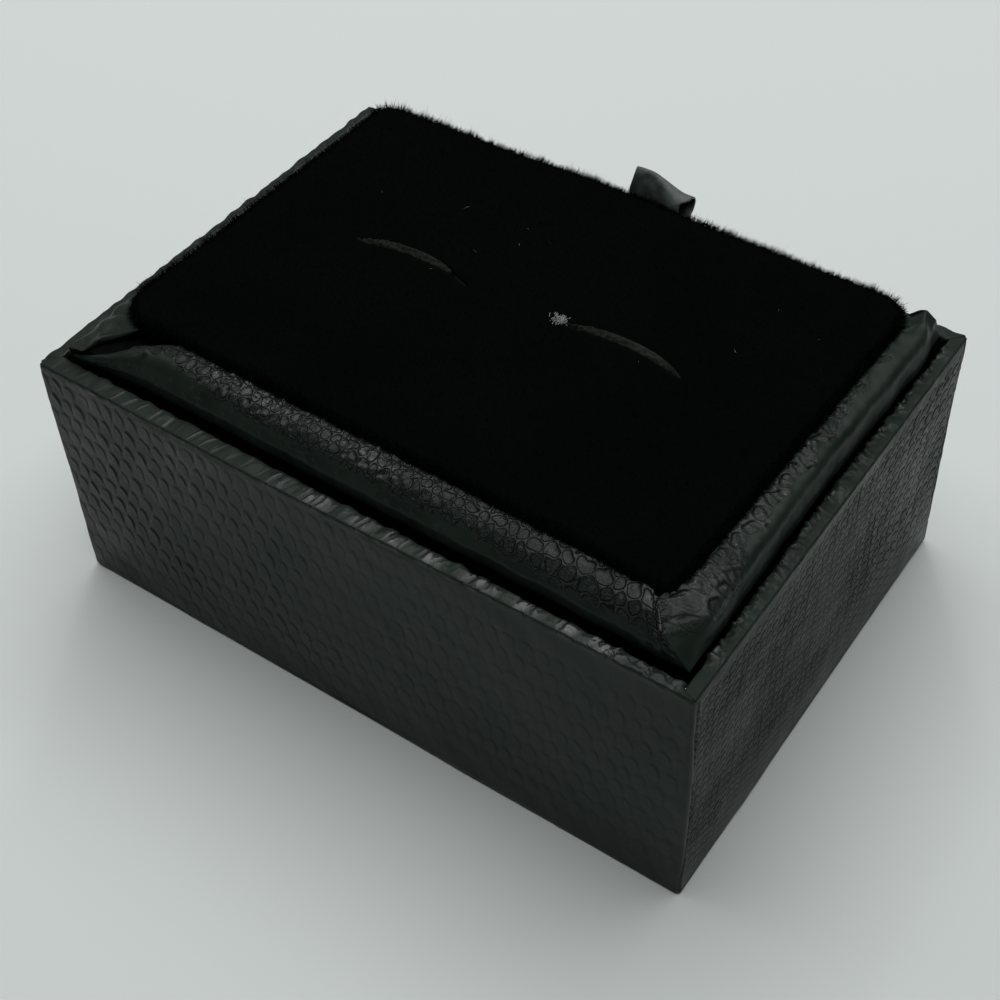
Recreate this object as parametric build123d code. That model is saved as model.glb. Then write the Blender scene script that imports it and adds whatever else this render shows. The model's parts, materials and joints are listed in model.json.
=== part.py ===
"""Cufflink display box: a covered board base with a padded, velvet-topped insert that lifts out.

Millimetres, +Z up. The origin is the middle of the underside, +X runs along the long side and
the front is at -Y. Every piece is written to parts/NAME.step.
"""
import math
import os

from build123d import *

# Base: overall size and what its walls are made of
LENGTH = 80.0
WIDTH = 57.0
BASE_HEIGHT = 32.0
WALL_BOARD = 1.1
FLOOR_BOARD = 1.6
LEATHERETTE = 0.3
PAPER = 0.2
TURN_IN = 10.0            # how far the leatherette reaches down inside the walls
TURN_UNDER = 5.0          # and how far it reaches in under the floor
BOTTOM_MARGIN = 1.5       # bare edge left round the bottom paper

# Insert: platform, padded collar and velvet pad
END_REVEAL = 1.0          # gap between the rim and the collar at the two short ends
LONG_REVEAL = 1.3         # the same gap along the front and the back
COLLAR_HEIGHT = 4.0       # from the rim's level up to the collar's ridge
COLLAR_ROUND = 1.0
COLLAR_INNER_ROUND = 0.5
LOW_ROUND = 0.4           # outer round of the two low strips, at the back and the left
BACK_SHOULDER = 0.7       # their outer height above the platform
LEFT_SHOULDER = 0.35
BACK_RISE = 1.0           # and how much higher they are beside the pad
LEFT_RISE = 1.2
COLLAR_TUCK = 3.0         # leatherette tucked in under the platform's edge
PLATFORM_BOARD = 1.2
SKIRT_BOARD = 1.2
SKIRT_SET_BACK = 0.6      # the skirt stands this far inside the collar's outer face
FRONT_STRIP = 4.2         # collar widths, from outer face to pad
BACK_STRIP = 1.6
LEFT_STRIP = 2.5
RIGHT_STRIP = 2.9
VELVET = 0.5
VELVET_TOP = 0.6
VELVET_TUCK = 4.0
VELVET_EDGE_ROUND = 0.8
PAD_CORNER = 2.2
PAD_BOARD = 1.0
PAD_FOAM = 1.0

# Slits for the cufflinks, with a window under each for the toggle bar
SLIT_LENGTH = 15.3
SLIT_RISE = 1.6           # how far the middle of the curved slit bows to the back
SLIT_WIDTH = 0.7
SLIT_SPACING = 26.0
SLIT_BACK = 2.6           # from the box's middle back to the slit's middle
WINDOW_LENGTH = 18.0
WINDOW_WIDTH = 7.0
WINDOW_CORNER = 1.5

# Pull tab: a folded ribbon glued to the back of the insert
TAB_WIDTH = 7.6
TAB_ASIDE = 3.8           # the tab's middle, to the right of the box's middle
TAB_FOLDED = 0.5          # two plies of ribbon
TAB_PLY = 0.25
TAB_TAIL = 8.0            # glued length on the back skirt
TAB_JOG = 1.2
TAB_CREASE_DROP = 1.5     # the crease that the tab folds at, below the collar's ridge
TAB_LOOP_RADIUS = 1.3
TAB_LOOP_RISE = 3.4       # from the crease up to the middle of the loop
TAB_LOOP_LEAN = 0.45      # the loop's middle, behind the crease
TAB_CLEARANCE = 0.1       # between the moving tab and what it passes

# Levels, from the ground up
WRAP_BOTTOM = PAPER
BOARD_BOTTOM = WRAP_BOTTOM + LEATHERETTE
FLOOR_TOP = BOARD_BOTTOM + FLOOR_BOARD
LINER_TOP = FLOOR_TOP + PAPER
WALL_TOP = BASE_HEIGHT - LEATHERETTE
PLATFORM_BOTTOM = BASE_HEIGHT + LEATHERETTE
PLATFORM_TOP = PLATFORM_BOTTOM + PLATFORM_BOARD
RIDGE = BASE_HEIGHT + COLLAR_HEIGHT
PAD_BOARD_BOTTOM = PLATFORM_TOP + VELVET
PAD_FOAM_BOTTOM = PAD_BOARD_BOTTOM + PAD_BOARD
PAD_FOAM_TOP = PAD_FOAM_BOTTOM + PAD_FOAM
PAD_TOP = PAD_FOAM_TOP + VELVET_TOP
RIM = WALL_BOARD + 2 * LEATHERETTE
SIDES = ("front", "right", "back", "left")


def inset(plan, front, right, back, left):
    """A plan rectangle (x0, x1, y0, y1) taken in by its own amount on each side."""
    x0, x1, y0, y1 = plan
    return (x0 + left, x1 - right, y0 + front, y1 - back)


def evenly(plan, amount):
    """A plan rectangle taken in by one amount all round."""
    return inset(plan, amount, amount, amount, amount)


OUTLINE = (-LENGTH / 2, LENGTH / 2, -WIDTH / 2, WIDTH / 2)
INSIDE_WRAP = evenly(OUTLINE, LEATHERETTE)
INSIDE_BOARDS = evenly(INSIDE_WRAP, WALL_BOARD)
WELL = evenly(OUTLINE, RIM)
COLLAR = inset(WELL, LONG_REVEAL, END_REVEAL, LONG_REVEAL, END_REVEAL)
PLATFORM = evenly(COLLAR, LEATHERETTE)
SKIRT = evenly(COLLAR, SKIRT_SET_BACK)
PAD = inset(COLLAR, FRONT_STRIP, RIGHT_STRIP, BACK_STRIP, LEFT_STRIP)
PAD_CORE = evenly(PAD, VELVET)
STRIPS = {"front": FRONT_STRIP, "right": RIGHT_STRIP, "back": BACK_STRIP, "left": LEFT_STRIP}
BACK_TOP = PLATFORM_TOP + BACK_SHOULDER
LEFT_TOP = PLATFORM_TOP + LEFT_SHOULDER
COLLAR_TOPS = {
    "front": (RIDGE, RIDGE, COLLAR_ROUND),
    "right": (RIDGE, RIDGE, COLLAR_ROUND),
    "back": (BACK_TOP, BACK_TOP + BACK_RISE, LOW_ROUND),
    "left": (LEFT_TOP, LEFT_TOP + LEFT_RISE, LOW_ROUND),
}


def slab(plan, bottom, top, corner=0.0):
    """A flat sheet or board over a plan rectangle, with its upright corners rounded."""
    x0, x1, y0, y1 = plan
    if corner > 0:
        face = RectangleRounded(x1 - x0, y1 - y0, corner)
    else:
        face = Rectangle(x1 - x0, y1 - y0)
    return Pos((x0 + x1) / 2, (y0 + y1) / 2, bottom) * extrude(face, top - bottom)


def side_ends(plan, side):
    """Both ends of one side of a plan rectangle, going round anticlockwise."""
    x0, x1, y0, y1 = plan
    corners = [(x0, y0), (x1, y0), (x1, y1), (x0, y1)]
    start = SIDES.index(side)
    return Vector(*corners[start]), Vector(*corners[(start + 1) % len(corners)])


def mitred_strip(section, outer, inner, side, reach):
    """A section carried along one side and mitred from the outer to the inner corners.

    The section's x runs inwards from the outer face and its y is the height.
    """
    start, end = side_ends(outer, side)
    inner_start, inner_end = side_ends(inner, side)
    run = end - start
    inward = Vector(-run.Y, run.X).normalized()
    bar = extrude(Plane(start, x_dir=inward, z_dir=run.normalized()) * section, run.length)
    stretch = reach / (inner_start - start).dot(inward)
    far_start = start + (inner_start - start) * stretch
    far_end = end + (inner_end - end) * stretch
    plan = make_face(Polyline(start, end, far_end, far_start, close=True))
    return bar & extrude(plan, RIDGE)


def ring_of_boards(plan, thickness, bottom, top):
    """Four upright boards just inside a plan rectangle: the long ones run right through."""
    x0, x1, y0, y1 = plan
    return {
        "front": slab((x0, x1, y0, y0 + thickness), bottom, top),
        "back": slab((x0, x1, y1 - thickness, y1), bottom, top),
        "left": slab((x0, x0 + thickness, y0 + thickness, y1 - thickness), bottom, top),
        "right": slab((x1 - thickness, x1, y0 + thickness, y1 - thickness), bottom, top),
    }


def rounded(points, radii):
    """A closed outline through points, with each corner that has a radius rounded."""
    face = make_face(Polyline(*points, close=True))
    for index, radius in radii.items():
        at = Vector(*points[index])
        face = fillet(face.vertices().sort_by_distance(at)[0], radius)
    return face


def base_wrap_section():
    """Leatherette over a wall: up the outside, over the rim, down inside, and in underneath."""
    skin = LEATHERETTE
    low = WRAP_BOTTOM
    points = [
        (TURN_UNDER, low),
        (0, low),
        (0, BASE_HEIGHT),
        (RIM, BASE_HEIGHT),
        (RIM, BASE_HEIGHT - TURN_IN),
        (RIM - skin, BASE_HEIGHT - TURN_IN),
        (RIM - skin, WALL_TOP),
        (skin, WALL_TOP),
        (skin, BOARD_BOTTOM),
        (TURN_UNDER, BOARD_BOTTOM),
    ]
    return rounded(points, {1: skin, 2: skin, 3: skin})


def skin_lines(side):
    """Outer and inner height of a strip's top, and the same for the underside of its skin."""
    outer, inner, outer_round = COLLAR_TOPS[side]
    slope = (inner - outer) / STRIPS[side]
    drop = LEATHERETTE * math.hypot(1, slope)
    shift = LEATHERETTE * slope
    return (outer, inner), (outer + shift - drop, inner - shift - drop), outer_round


def collar_cover_section(side):
    """Leatherette over the padding: tucked under the platform, up, over the top, down to it."""
    width = STRIPS[side]
    skin = LEATHERETTE
    (outer, inner), (under_outer, under_inner), outer_round = skin_lines(side)
    points = [
        (COLLAR_TUCK, BASE_HEIGHT),
        (0, BASE_HEIGHT),
        (0, outer),
        (width, inner),
        (width, PLATFORM_TOP),
        (width - skin, PLATFORM_TOP),
        (width - skin, under_inner),
        (skin, under_outer),
        (skin, PLATFORM_BOTTOM),
        (COLLAR_TUCK, PLATFORM_BOTTOM),
    ]
    inside = COLLAR_INNER_ROUND - skin
    return rounded(
        points, {1: skin, 2: outer_round, 3: COLLAR_INNER_ROUND, 6: inside, 7: outer_round - skin}
    )


def collar_padding_section(side):
    """Foam strip that fills the cover and rests on the platform."""
    width = STRIPS[side]
    skin = LEATHERETTE
    _, (under_outer, under_inner), outer_round = skin_lines(side)
    points = [
        (skin, PLATFORM_TOP),
        (skin, under_outer),
        (width - skin, under_inner),
        (width - skin, PLATFORM_TOP),
    ]
    return rounded(points, {1: outer_round - skin, 2: COLLAR_INNER_ROUND - skin})


def slit_places():
    """The middles of the two slits."""
    return [Vector(side * SLIT_SPACING / 2, SLIT_BACK) for side in (-1, 1)]


def slits(bottom, top):
    """The two curved cuts, from one level up to another."""
    cuts = []
    for place in slit_places():
        low = place.Y - SLIT_RISE / 2
        left = (place.X - SLIT_LENGTH / 2, low)
        right = (place.X + SLIT_LENGTH / 2, low)
        arc = ThreePointArc(left, (place.X, low + SLIT_RISE), right)
        cuts.append(Pos(0, 0, bottom) * extrude(SlotArc(arc, SLIT_WIDTH), top - bottom))
    return cuts


def windows(bottom, top):
    """The two openings in the platform that let the toggle bars through."""
    half_length = WINDOW_LENGTH / 2
    half_width = WINDOW_WIDTH / 2
    cuts = []
    for place in slit_places():
        plan = (
            place.X - half_length,
            place.X + half_length,
            place.Y - half_width,
            place.Y + half_width,
        )
        cuts.append(slab(plan, bottom, top, WINDOW_CORNER))
    return cuts


def make_base():
    """Floor and wall boards, the leatherette over them, and the paper inside and underneath."""
    pieces = {"floor_board": slab(INSIDE_BOARDS, BOARD_BOTTOM, FLOOR_TOP)}
    boards = ring_of_boards(INSIDE_WRAP, WALL_BOARD, BOARD_BOTTOM, WALL_TOP)
    liners = ring_of_boards(INSIDE_BOARDS, PAPER, LINER_TOP, BASE_HEIGHT - TURN_IN)
    wrap = base_wrap_section()
    for side in SIDES:
        pieces[side + "_wall_board"] = boards[side]
        pieces[side + "_wall_liner"] = liners[side]
        pieces[side + "_wrap"] = mitred_strip(wrap, OUTLINE, WELL, side, TURN_UNDER)
    pieces["floor_liner"] = slab(INSIDE_BOARDS, FLOOR_TOP, LINER_TOP)
    sheet = slab(evenly(OUTLINE, BOTTOM_MARGIN), 0, WRAP_BOTTOM)
    middle = slab(evenly(OUTLINE, TURN_UNDER), WRAP_BOTTOM, BOARD_BOTTOM)
    pieces["bottom_cover"] = sheet + middle
    return pieces


def make_platform():
    """The board that carries the pad, on a skirt that stands on the floor of the base."""
    board = slab(PLATFORM, PLATFORM_BOTTOM, PLATFORM_TOP)
    for cut in windows(PLATFORM_BOTTOM, PLATFORM_TOP):
        board -= cut
    pieces = {"platform_board": board}
    boards = ring_of_boards(SKIRT, SKIRT_BOARD, LINER_TOP, BASE_HEIGHT)
    for side in SIDES:
        pieces[side + "_skirt_board"] = boards[side]
    return pieces


def make_collar():
    """Padded strips round the pad, each a foam strip under its own leatherette."""
    pieces = {}
    for side, width in STRIPS.items():
        padding = collar_padding_section(side)
        cover = collar_cover_section(side)
        pieces[side + "_collar_padding"] = mitred_strip(padding, COLLAR, PAD, side, width)
        reach = max(width, COLLAR_TUCK)
        pieces[side + "_collar_cover"] = mitred_strip(cover, COLLAR, PAD, side, reach)
    return pieces


def make_pad():
    """Slitted board and foam inside a velvet cover that is tucked under the board."""
    board = slab(PAD_CORE, PAD_BOARD_BOTTOM, PAD_FOAM_BOTTOM, PAD_CORNER - VELVET)
    foam = slab(PAD_CORE, PAD_FOAM_BOTTOM, PAD_FOAM_TOP, PAD_CORNER - VELVET)
    velvet = slab(PAD, PLATFORM_TOP, PAD_TOP, PAD_CORNER)
    velvet = fillet(velvet.faces().sort_by(Axis.Z)[-1].edges(), VELVET_EDGE_ROUND)
    velvet -= slab(PAD_CORE, PAD_BOARD_BOTTOM, PAD_FOAM_TOP, PAD_CORNER - VELVET)
    velvet -= slab(evenly(PAD, VELVET_TUCK), PLATFORM_TOP, PAD_BOARD_BOTTOM)
    for cut in slits(PAD_BOARD_BOTTOM, PAD_TOP):
        board -= cut
        foam -= cut
        velvet -= cut
    return {"pad_board": board, "pad_foam": foam, "pad_velvet": velvet}


def across_tab(profile):
    """A profile in the plane of Y and Z, carried across the width of the tab."""
    plane = Plane(Vector(TAB_ASIDE - TAB_WIDTH / 2, 0, 0), x_dir=(0, 1, 0), z_dir=(1, 0, 0))
    return extrude(plane * profile, TAB_WIDTH)


def make_tab():
    """Folded ribbon: a tail glued to the back skirt, and a loop that folds back at a crease."""
    glued = SKIRT[3]
    front = COLLAR[3] + TAB_CLEARANCE
    crease_y = front + TAB_FOLDED / 2
    crease_z = RIDGE - TAB_CREASE_DROP
    tail_top = crease_z - TAB_FOLDED / 2 - TAB_CLEARANCE
    jog_top = BASE_HEIGHT - LEATHERETTE
    jog_bottom = jog_top - TAB_JOG
    tail_bottom = jog_bottom - TAB_TAIL
    skirt_side = [(glued, tail_bottom), (glued, jog_bottom), (front, jog_top), (front, tail_top)]
    far_side = [(y + TAB_FOLDED, z) for y, z in reversed(skirt_side)]
    tail = make_face(Polyline(*skirt_side, *far_side, close=True))
    loop_middle = Vector(crease_y + TAB_LOOP_LEAN, crease_z + TAB_LOOP_RISE)
    stem_top = loop_middle.Y - TAB_LOOP_RADIUS + TAB_PLY / 2
    stem = Pos(crease_y, (crease_z + stem_top) / 2) * Rectangle(TAB_FOLDED, stem_top - crease_z)
    knuckle = Pos(crease_y, crease_z) * Circle(TAB_FOLDED / 2)
    loop = Pos(loop_middle) * (Circle(TAB_LOOP_RADIUS) - Circle(TAB_LOOP_RADIUS - TAB_PLY))
    return {"pull_tab_tail": across_tab(tail), "pull_tab": across_tab(knuckle + stem + loop)}


def main():
    """Builds every piece and writes it to its own file."""
    os.makedirs("parts", exist_ok=True)
    pieces = make_base() | make_platform() | make_collar() | make_pad() | make_tab()
    for name, piece in pieces.items():
        export_step(piece, f"parts/{name}.step")


main()
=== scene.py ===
"""Dresses the cufflink display box: embossed leatherette, padded collar, slitted velvet pad, ribbon tab.

Sizes inside the functions are in millimetres in the part's own frame: +X along the long side,
the front at -Y, and the ground at z = 0. They turn into metres when a mesh is made.
"""
import json
import math

import bpy
import numpy as np
from bpy.props import FloatProperty, FloatVectorProperty, IntProperty, PointerProperty
from bpy.types import Operator, Panel, PropertyGroup
from mathutils import Matrix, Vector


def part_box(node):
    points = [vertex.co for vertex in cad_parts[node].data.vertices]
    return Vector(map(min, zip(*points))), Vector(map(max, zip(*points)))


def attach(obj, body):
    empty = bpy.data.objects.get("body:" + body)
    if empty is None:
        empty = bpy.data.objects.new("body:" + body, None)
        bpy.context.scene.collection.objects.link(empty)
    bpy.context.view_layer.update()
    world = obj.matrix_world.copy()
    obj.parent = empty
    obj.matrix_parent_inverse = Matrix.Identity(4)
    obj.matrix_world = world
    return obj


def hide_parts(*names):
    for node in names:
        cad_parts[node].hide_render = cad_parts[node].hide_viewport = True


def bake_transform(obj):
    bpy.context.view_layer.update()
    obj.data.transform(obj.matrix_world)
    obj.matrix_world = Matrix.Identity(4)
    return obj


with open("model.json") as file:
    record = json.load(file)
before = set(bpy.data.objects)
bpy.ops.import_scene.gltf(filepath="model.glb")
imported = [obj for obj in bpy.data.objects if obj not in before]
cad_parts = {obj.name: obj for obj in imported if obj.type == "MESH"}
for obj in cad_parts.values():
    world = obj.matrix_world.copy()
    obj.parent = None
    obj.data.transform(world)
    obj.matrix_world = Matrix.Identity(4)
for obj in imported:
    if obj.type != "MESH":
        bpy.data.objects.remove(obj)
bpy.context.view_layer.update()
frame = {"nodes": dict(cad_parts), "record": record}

bl_info = {
    "name": "Cufflink display box",
    "version": (1, 0, 0),
    "blender": (4, 5, 0),
    "location": "View3D > Sidebar > Cufflink box",
    "description": "Makes the covers, collar, velvet pad and tab of a cufflink display box",
    "category": "Add Mesh",
}

METRE = 0.001
CELLS_PER_UV = 40.0
ROW_RATIO = 0.866         # rows of scales stand this many pitches apart, as in a honeycomb


def box_mm(node):
    """Lowest and highest corner of a node, in millimetres."""
    low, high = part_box(node)
    return np.array(low) / METRE, np.array(high) / METRE


BASE_LOW, BASE_HIGH = box_mm("right_wrap")
BOARD_LOW, BOARD_HIGH = box_mm("right_wall_board")
PLATFORM_TOP = box_mm("platform_board")[1][2]
COLLAR_LOW, COLLAR_HIGH = box_mm("front_collar_cover")
PAD_LOW, PAD_HIGH = box_mm("pad_velvet")
FOAM_LOW, FOAM_HIGH = box_mm("pad_foam")
TAB_LOW, TAB_HIGH = box_mm("pull_tab")
SKIN = BASE_HIGH[0] - BOARD_HIGH[0]
RIM = BASE_HIGH[0] - BOARD_LOW[0] + SKIN
BASE_TOP = BASE_HIGH[2]
LENGTH_HALF = BASE_HIGH[0]
WIDTH_HALF = -box_mm("front_wrap")[0][1]
COLLAR_X = COLLAR_HIGH[0]
COLLAR_Y = -COLLAR_LOW[1]
RIDGE = COLLAR_HIGH[2]
SIDES = {
    "front": ((1, 0), (0, -1), LENGTH_HALF, WIDTH_HALF),
    "right": ((0, 1), (1, 0), WIDTH_HALF, LENGTH_HALF),
    "back": ((-1, 0), (0, 1), LENGTH_HALF, WIDTH_HALF),
    "left": ((0, -1), (-1, 0), WIDTH_HALF, LENGTH_HALF),
}


# ---------------------------------------------------------------- settings


class LeatheretteSettings(PropertyGroup):
    """Embossed covering paper."""

    colour: FloatVectorProperty(
        name="Colour", description="Colour of the covering", subtype="COLOR",
        default=(0.0122, 0.0190, 0.0150), min=0, max=1,
    )
    pitch: FloatProperty(
        name="Scale pitch", description="Distance between neighbouring scales in a row",
        default=0.00185, min=0.0008, max=0.004, unit="LENGTH",
    )
    row: FloatProperty(
        name="Row pitch", description="Distance between neighbouring rows of scales",
        default=0.0026, min=0.0008, max=0.004, unit="LENGTH",
    )
    relief: FloatProperty(
        name="Relief", description="Height of the embossing",
        default=0.000085, min=0, max=0.0003, unit="LENGTH",
    )
    step: FloatProperty(
        name="Grid step", description="Spacing of the surface grid on the walls",
        default=0.00026, min=0.0001, max=0.002, unit="LENGTH",
    )


class CollarSettings(PropertyGroup):
    """Padded strips round the pad."""

    ring_relief: FloatProperty(
        name="Ring relief", description="Depth of the embossed rings on the collar",
        default=0.00009, min=0, max=0.0003, unit="LENGTH",
    )
    swell: FloatProperty(
        name="Swell", description="How far the padding swells between its folds",
        default=0.00018, min=0, max=0.001, unit="LENGTH",
    )
    step: FloatProperty(
        name="Grid step", description="Spacing of the surface grid on the collar",
        default=0.00013, min=0.00008, max=0.002, unit="LENGTH",
    )


class PadSettings(PropertyGroup):
    """Velvet pad with its two slits."""

    colour: FloatVectorProperty(
        name="Velvet", description="Colour of the velvet", subtype="COLOR",
        default=(0.0009, 0.0015, 0.0012), min=0, max=1,
    )
    crown: FloatProperty(
        name="Crown", description="How much higher the middle of the pad is than its edge",
        default=0.00022, min=0, max=0.002, unit="LENGTH",
    )
    gape: FloatProperty(
        name="Slit gape", description="Width of a slit at its middle",
        default=0.0008, min=0.0001, max=0.001, unit="LENGTH",
    )
    pile: FloatProperty(
        name="Pile height", description="Length of the velvet's fibres",
        default=0.00075, min=0.0002, max=0.002, unit="LENGTH",
    )
    tufts: IntProperty(
        name="Fibres", description="Number of modelled fibres", default=46000, min=100, max=49000,
    )


class TabSettings(PropertyGroup):
    """Ribbon pull tab."""

    colour: FloatVectorProperty(
        name="Ribbon", description="Colour of the ribbon", subtype="COLOR",
        default=(0.05, 0.066, 0.058), min=0, max=1,
    )
    thickness: FloatProperty(
        name="Thickness", description="Thickness of the ribbon",
        default=0.0002, min=0.00005, max=0.00025, unit="LENGTH",
    )


class StageSettings(PropertyGroup):
    """Floor, light and camera."""

    floor_colour: FloatVectorProperty(
        name="Floor", description="Colour of the floor", subtype="COLOR",
        default=(0.695, 0.74, 0.725), min=0, max=1,
    )
    sky: FloatProperty(
        name="Soft light", description="Strength of the light from all round",
        default=0.03, min=0, max=3,
    )
    lamp: FloatProperty(
        name="Lamp power", description="Power of the broad lamp overhead",
        default=4.6, min=0, max=100, unit="POWER",
    )


# ---------------------------------------------------------------- shapes in general


def ease(x, low, high):
    """Rises from 0 at low to 1 at high: t*t*(3 - 2t), where t runs from 0 to 1 between them."""
    t = np.clip((np.asarray(x, float) - low) / (high - low), 0, 1)
    return t * t * (3 - 2 * t)


def hump(x, middle, reach):
    """Bell curve of height 1: exp(-((x - middle) / reach)^2)."""
    return np.exp(-(((np.asarray(x, float) - middle) / reach) ** 2))


def waves(u, v, length, seed, count=18):
    """Random swell of about that wavelength.

    The sum of count plane waves cos(k.(u, v) + phase), each with its own direction, length and
    phase, divided by sqrt(count / 2), so that its spread is about 1.
    """
    rng = np.random.default_rng(seed)
    field = np.zeros(np.broadcast(u, v).shape)
    for _ in range(count):
        angle, phase = rng.uniform(0, math.tau, 2)
        number = math.tau / (length * rng.uniform(0.7, 1.45))
        field += np.cos(number * (math.cos(angle) * u + math.sin(angle) * v) + phase)
    return field / math.sqrt(count / 2)


def patchy(u, v, length, seed, middle, spread):
    """Slow patches of strength: middle + spread * waves, with the waves held between -1 and 1."""
    return middle + spread * np.clip(waves(u, v, length, seed), -1, 1)


def cell_place(across, along):
    """Distance from the nearest scale's middle, and the steps to it, in cells.

    Middles stand at whole numbers of across on even rows and half a cell on for odd rows. Each
    of the two lattices folds a point into its own cell, and the nearer middle counts.
    """
    least = np.full(np.broadcast(across, along).shape, 9.0)
    near_x, near_y = np.zeros((2, *least.shape))
    for shift in (0.0, 0.5):
        x = across + shift
        y = (along + 2 * shift) / 2
        dx = x - np.round(x)
        dy = (y - np.round(y)) * 2 * ROW_RATIO
        distance = np.hypot(dx, dy)
        closer = distance < least
        least = np.where(closer, distance, least)
        near_x = np.where(closer, dx, near_x)
        near_y = np.where(closer, dy, near_y)
    return least, near_x, near_y


def raised_scales(across, along, lean, radius=0.44):
    """Height of the embossing, 0 on the network between the scales and about 1 on a scale.

    A scale's soft edge is 0.18 of a cell wide, about radius. Its top tilts the way of lean:
    height = 1 + lean . (dx, dy) / radius, so that one side stands up steeply.
    """
    d, dx, dy = cell_place(across, along)
    inside = 1 - ease(d, radius - 0.13, radius + 0.05)
    tilt = 1 + (lean[0] * dx + lean[1] * dy) / radius
    return inside * np.clip(tilt, 0, 2) * (0.75 + 0.25 * np.clip((d / radius) ** 2, 0, 1))


def crease(x, y, path, width):
    """1 along a polyline and falling away as exp(-(distance / width)^2)."""
    nearest = np.full(np.broadcast(x, y).shape, np.inf)
    for (x0, y0), (x1, y1) in zip(path[:-1], path[1:]):
        run_x, run_y = x1 - x0, y1 - y0
        t = np.clip(((x - x0) * run_x + (y - y0) * run_y) / (run_x**2 + run_y**2), 0, 1)
        nearest = np.minimum(nearest, np.hypot(x - x0 - t * run_x, y - y0 - t * run_y))
    return np.exp(-((nearest / width) ** 2))


def rounded_path(corners, radii, step, arc_points=7):
    """Points along a polyline whose corners are arcs, no further apart than step on the runs."""
    corners = [np.array(c, float) for c in corners]
    points = [corners[0]]
    for before, corner, after, radius in zip(corners[:-2], corners[1:-1], corners[2:], radii):
        into = (corner - before) / np.linalg.norm(corner - before)
        out = (after - corner) / np.linalg.norm(after - corner)
        turn = math.acos(float(np.clip(into @ out, -1, 1)))
        back = radius * math.tan(turn / 2)
        first, last = corner - into * back, corner + out * back
        middle = corner + (out - into) / np.linalg.norm(out - into) * radius / math.cos(turn / 2)
        angle = np.linspace(0, turn, arc_points)[:, None]
        from_middle = (first - middle) / radius
        arc = middle + radius * (np.cos(angle) * from_middle + np.sin(angle) * into)
        points += run_points(points[-1], first, step) + list(arc[1:])
        points[-1] = last
    points += run_points(points[-1], corners[-1], step)
    return np.array(points)


def run_points(start, end, step):
    """Evenly spaced points from just after start to end."""
    count = max(1, math.ceil(np.linalg.norm(end - start) / step))
    return [start + (end - start) * k / count for k in range(1, count + 1)]


def path_normals(points):
    """Unit normals of a path in the plane, to the left of the way it runs, and its length so far."""
    tangent = np.gradient(points, axis=0)
    tangent /= np.linalg.norm(tangent, axis=1)[:, None]
    length = np.concatenate([[0], np.cumsum(np.linalg.norm(np.diff(points, axis=0), axis=1))])
    return np.stack([-tangent[:, 1], tangent[:, 0]], 1), length


def grid_quads(ids):
    """Quads between neighbouring vertex numbers of a 2-D array."""
    return np.stack([ids[:-1, :-1], ids[:-1, 1:], ids[1:, 1:], ids[1:, :-1]], -1).reshape(-1, 4)


def number_grid(shape, start=0):
    """Vertex numbers of a grid, counted row by row from start."""
    return start + np.arange(shape[0] * shape[1]).reshape(shape[0], shape[1])


def border_of(ids):
    """The numbers round a grid's edge, from its first corner along the first row."""
    return np.concatenate([ids[0, :-1], ids[:-1, -1], ids[-1, :0:-1], ids[:0:-1, 0]])


def thicken(thing, name, thickness, offset=-1):
    """Gives a sheet its thickness, by default inward from the surface."""
    modifier = thing.modifiers.new(name, "SOLIDIFY")
    modifier.thickness = thickness
    modifier.offset = offset
    return modifier


def signed_volume(points, faces):
    """Sum over triangles of a.(b x c) / 6, with each face split into a fan."""
    total = 0.0
    for group in faces:
        for k in range(1, group.shape[1] - 1):
            a, b, c = points[group[:, 0]], points[group[:, k]], points[group[:, k + 1]]
            total += np.einsum("ij,ij->i", a, np.cross(b, c)).sum() / 6
    return total


def make_object(name, points, faces, material, cells=None, masks=None, outward=None, smooth=True):
    """Puts millimetre points and face groups into a mesh object, with its faces pointing out.

    A closed shape is turned by the sign of its volume. An open sheet is turned so that most of
    its faces point the way of outward.
    """
    faces = [np.asarray(group) for group in faces if len(group)]
    if outward is None:
        flip = signed_volume(points - points.mean(0), faces) < 0
    else:
        quads = faces[0]
        first, second, third = (points[quads[:, k]] for k in range(3))
        normal = np.cross(second - first, third - first)
        flip = (normal @ np.asarray(outward, float)).sum() < 0
    if flip:
        faces = [group[:, ::-1] for group in faces]
    mesh = bpy.data.meshes.new(name)
    mesh.from_pydata((points * METRE).tolist(), [], [f for group in faces for f in group.tolist()])
    mesh.validate()
    if cells is not None:
        corner = np.empty(len(mesh.loops), np.int32)
        mesh.loops.foreach_get("vertex_index", corner)
        layer = mesh.uv_layers.new(name="cells")
        layer.data.foreach_set("uv", (cells[corner] / CELLS_PER_UV).astype(np.float32).ravel())
    for label, values in (masks or {}).items():
        attribute = mesh.attributes.new(label, "FLOAT", "POINT")
        attribute.data.foreach_set("value", np.asarray(values, np.float32).ravel())
    mesh.polygons.foreach_set("use_smooth", np.full(len(mesh.polygons), smooth))
    mesh.materials.append(material)
    mesh.update()
    thing = bpy.data.objects.new(name, mesh)
    bpy.context.scene.collection.objects.link(thing)
    return thing


COARSE = 6                # a covering's back has one point for so many on its face


def merged_rim(ids, coarse):
    """Many-sided faces between a fine border and the coarse one behind it."""
    pieces = [ids[k : len(ids) - COARSE + k : COARSE] for k in range(COARSE + 1)]
    return np.stack(pieces + [coarse[1:], coarse[:-1]], 1)


# ---------------------------------------------------------------- materials


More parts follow.
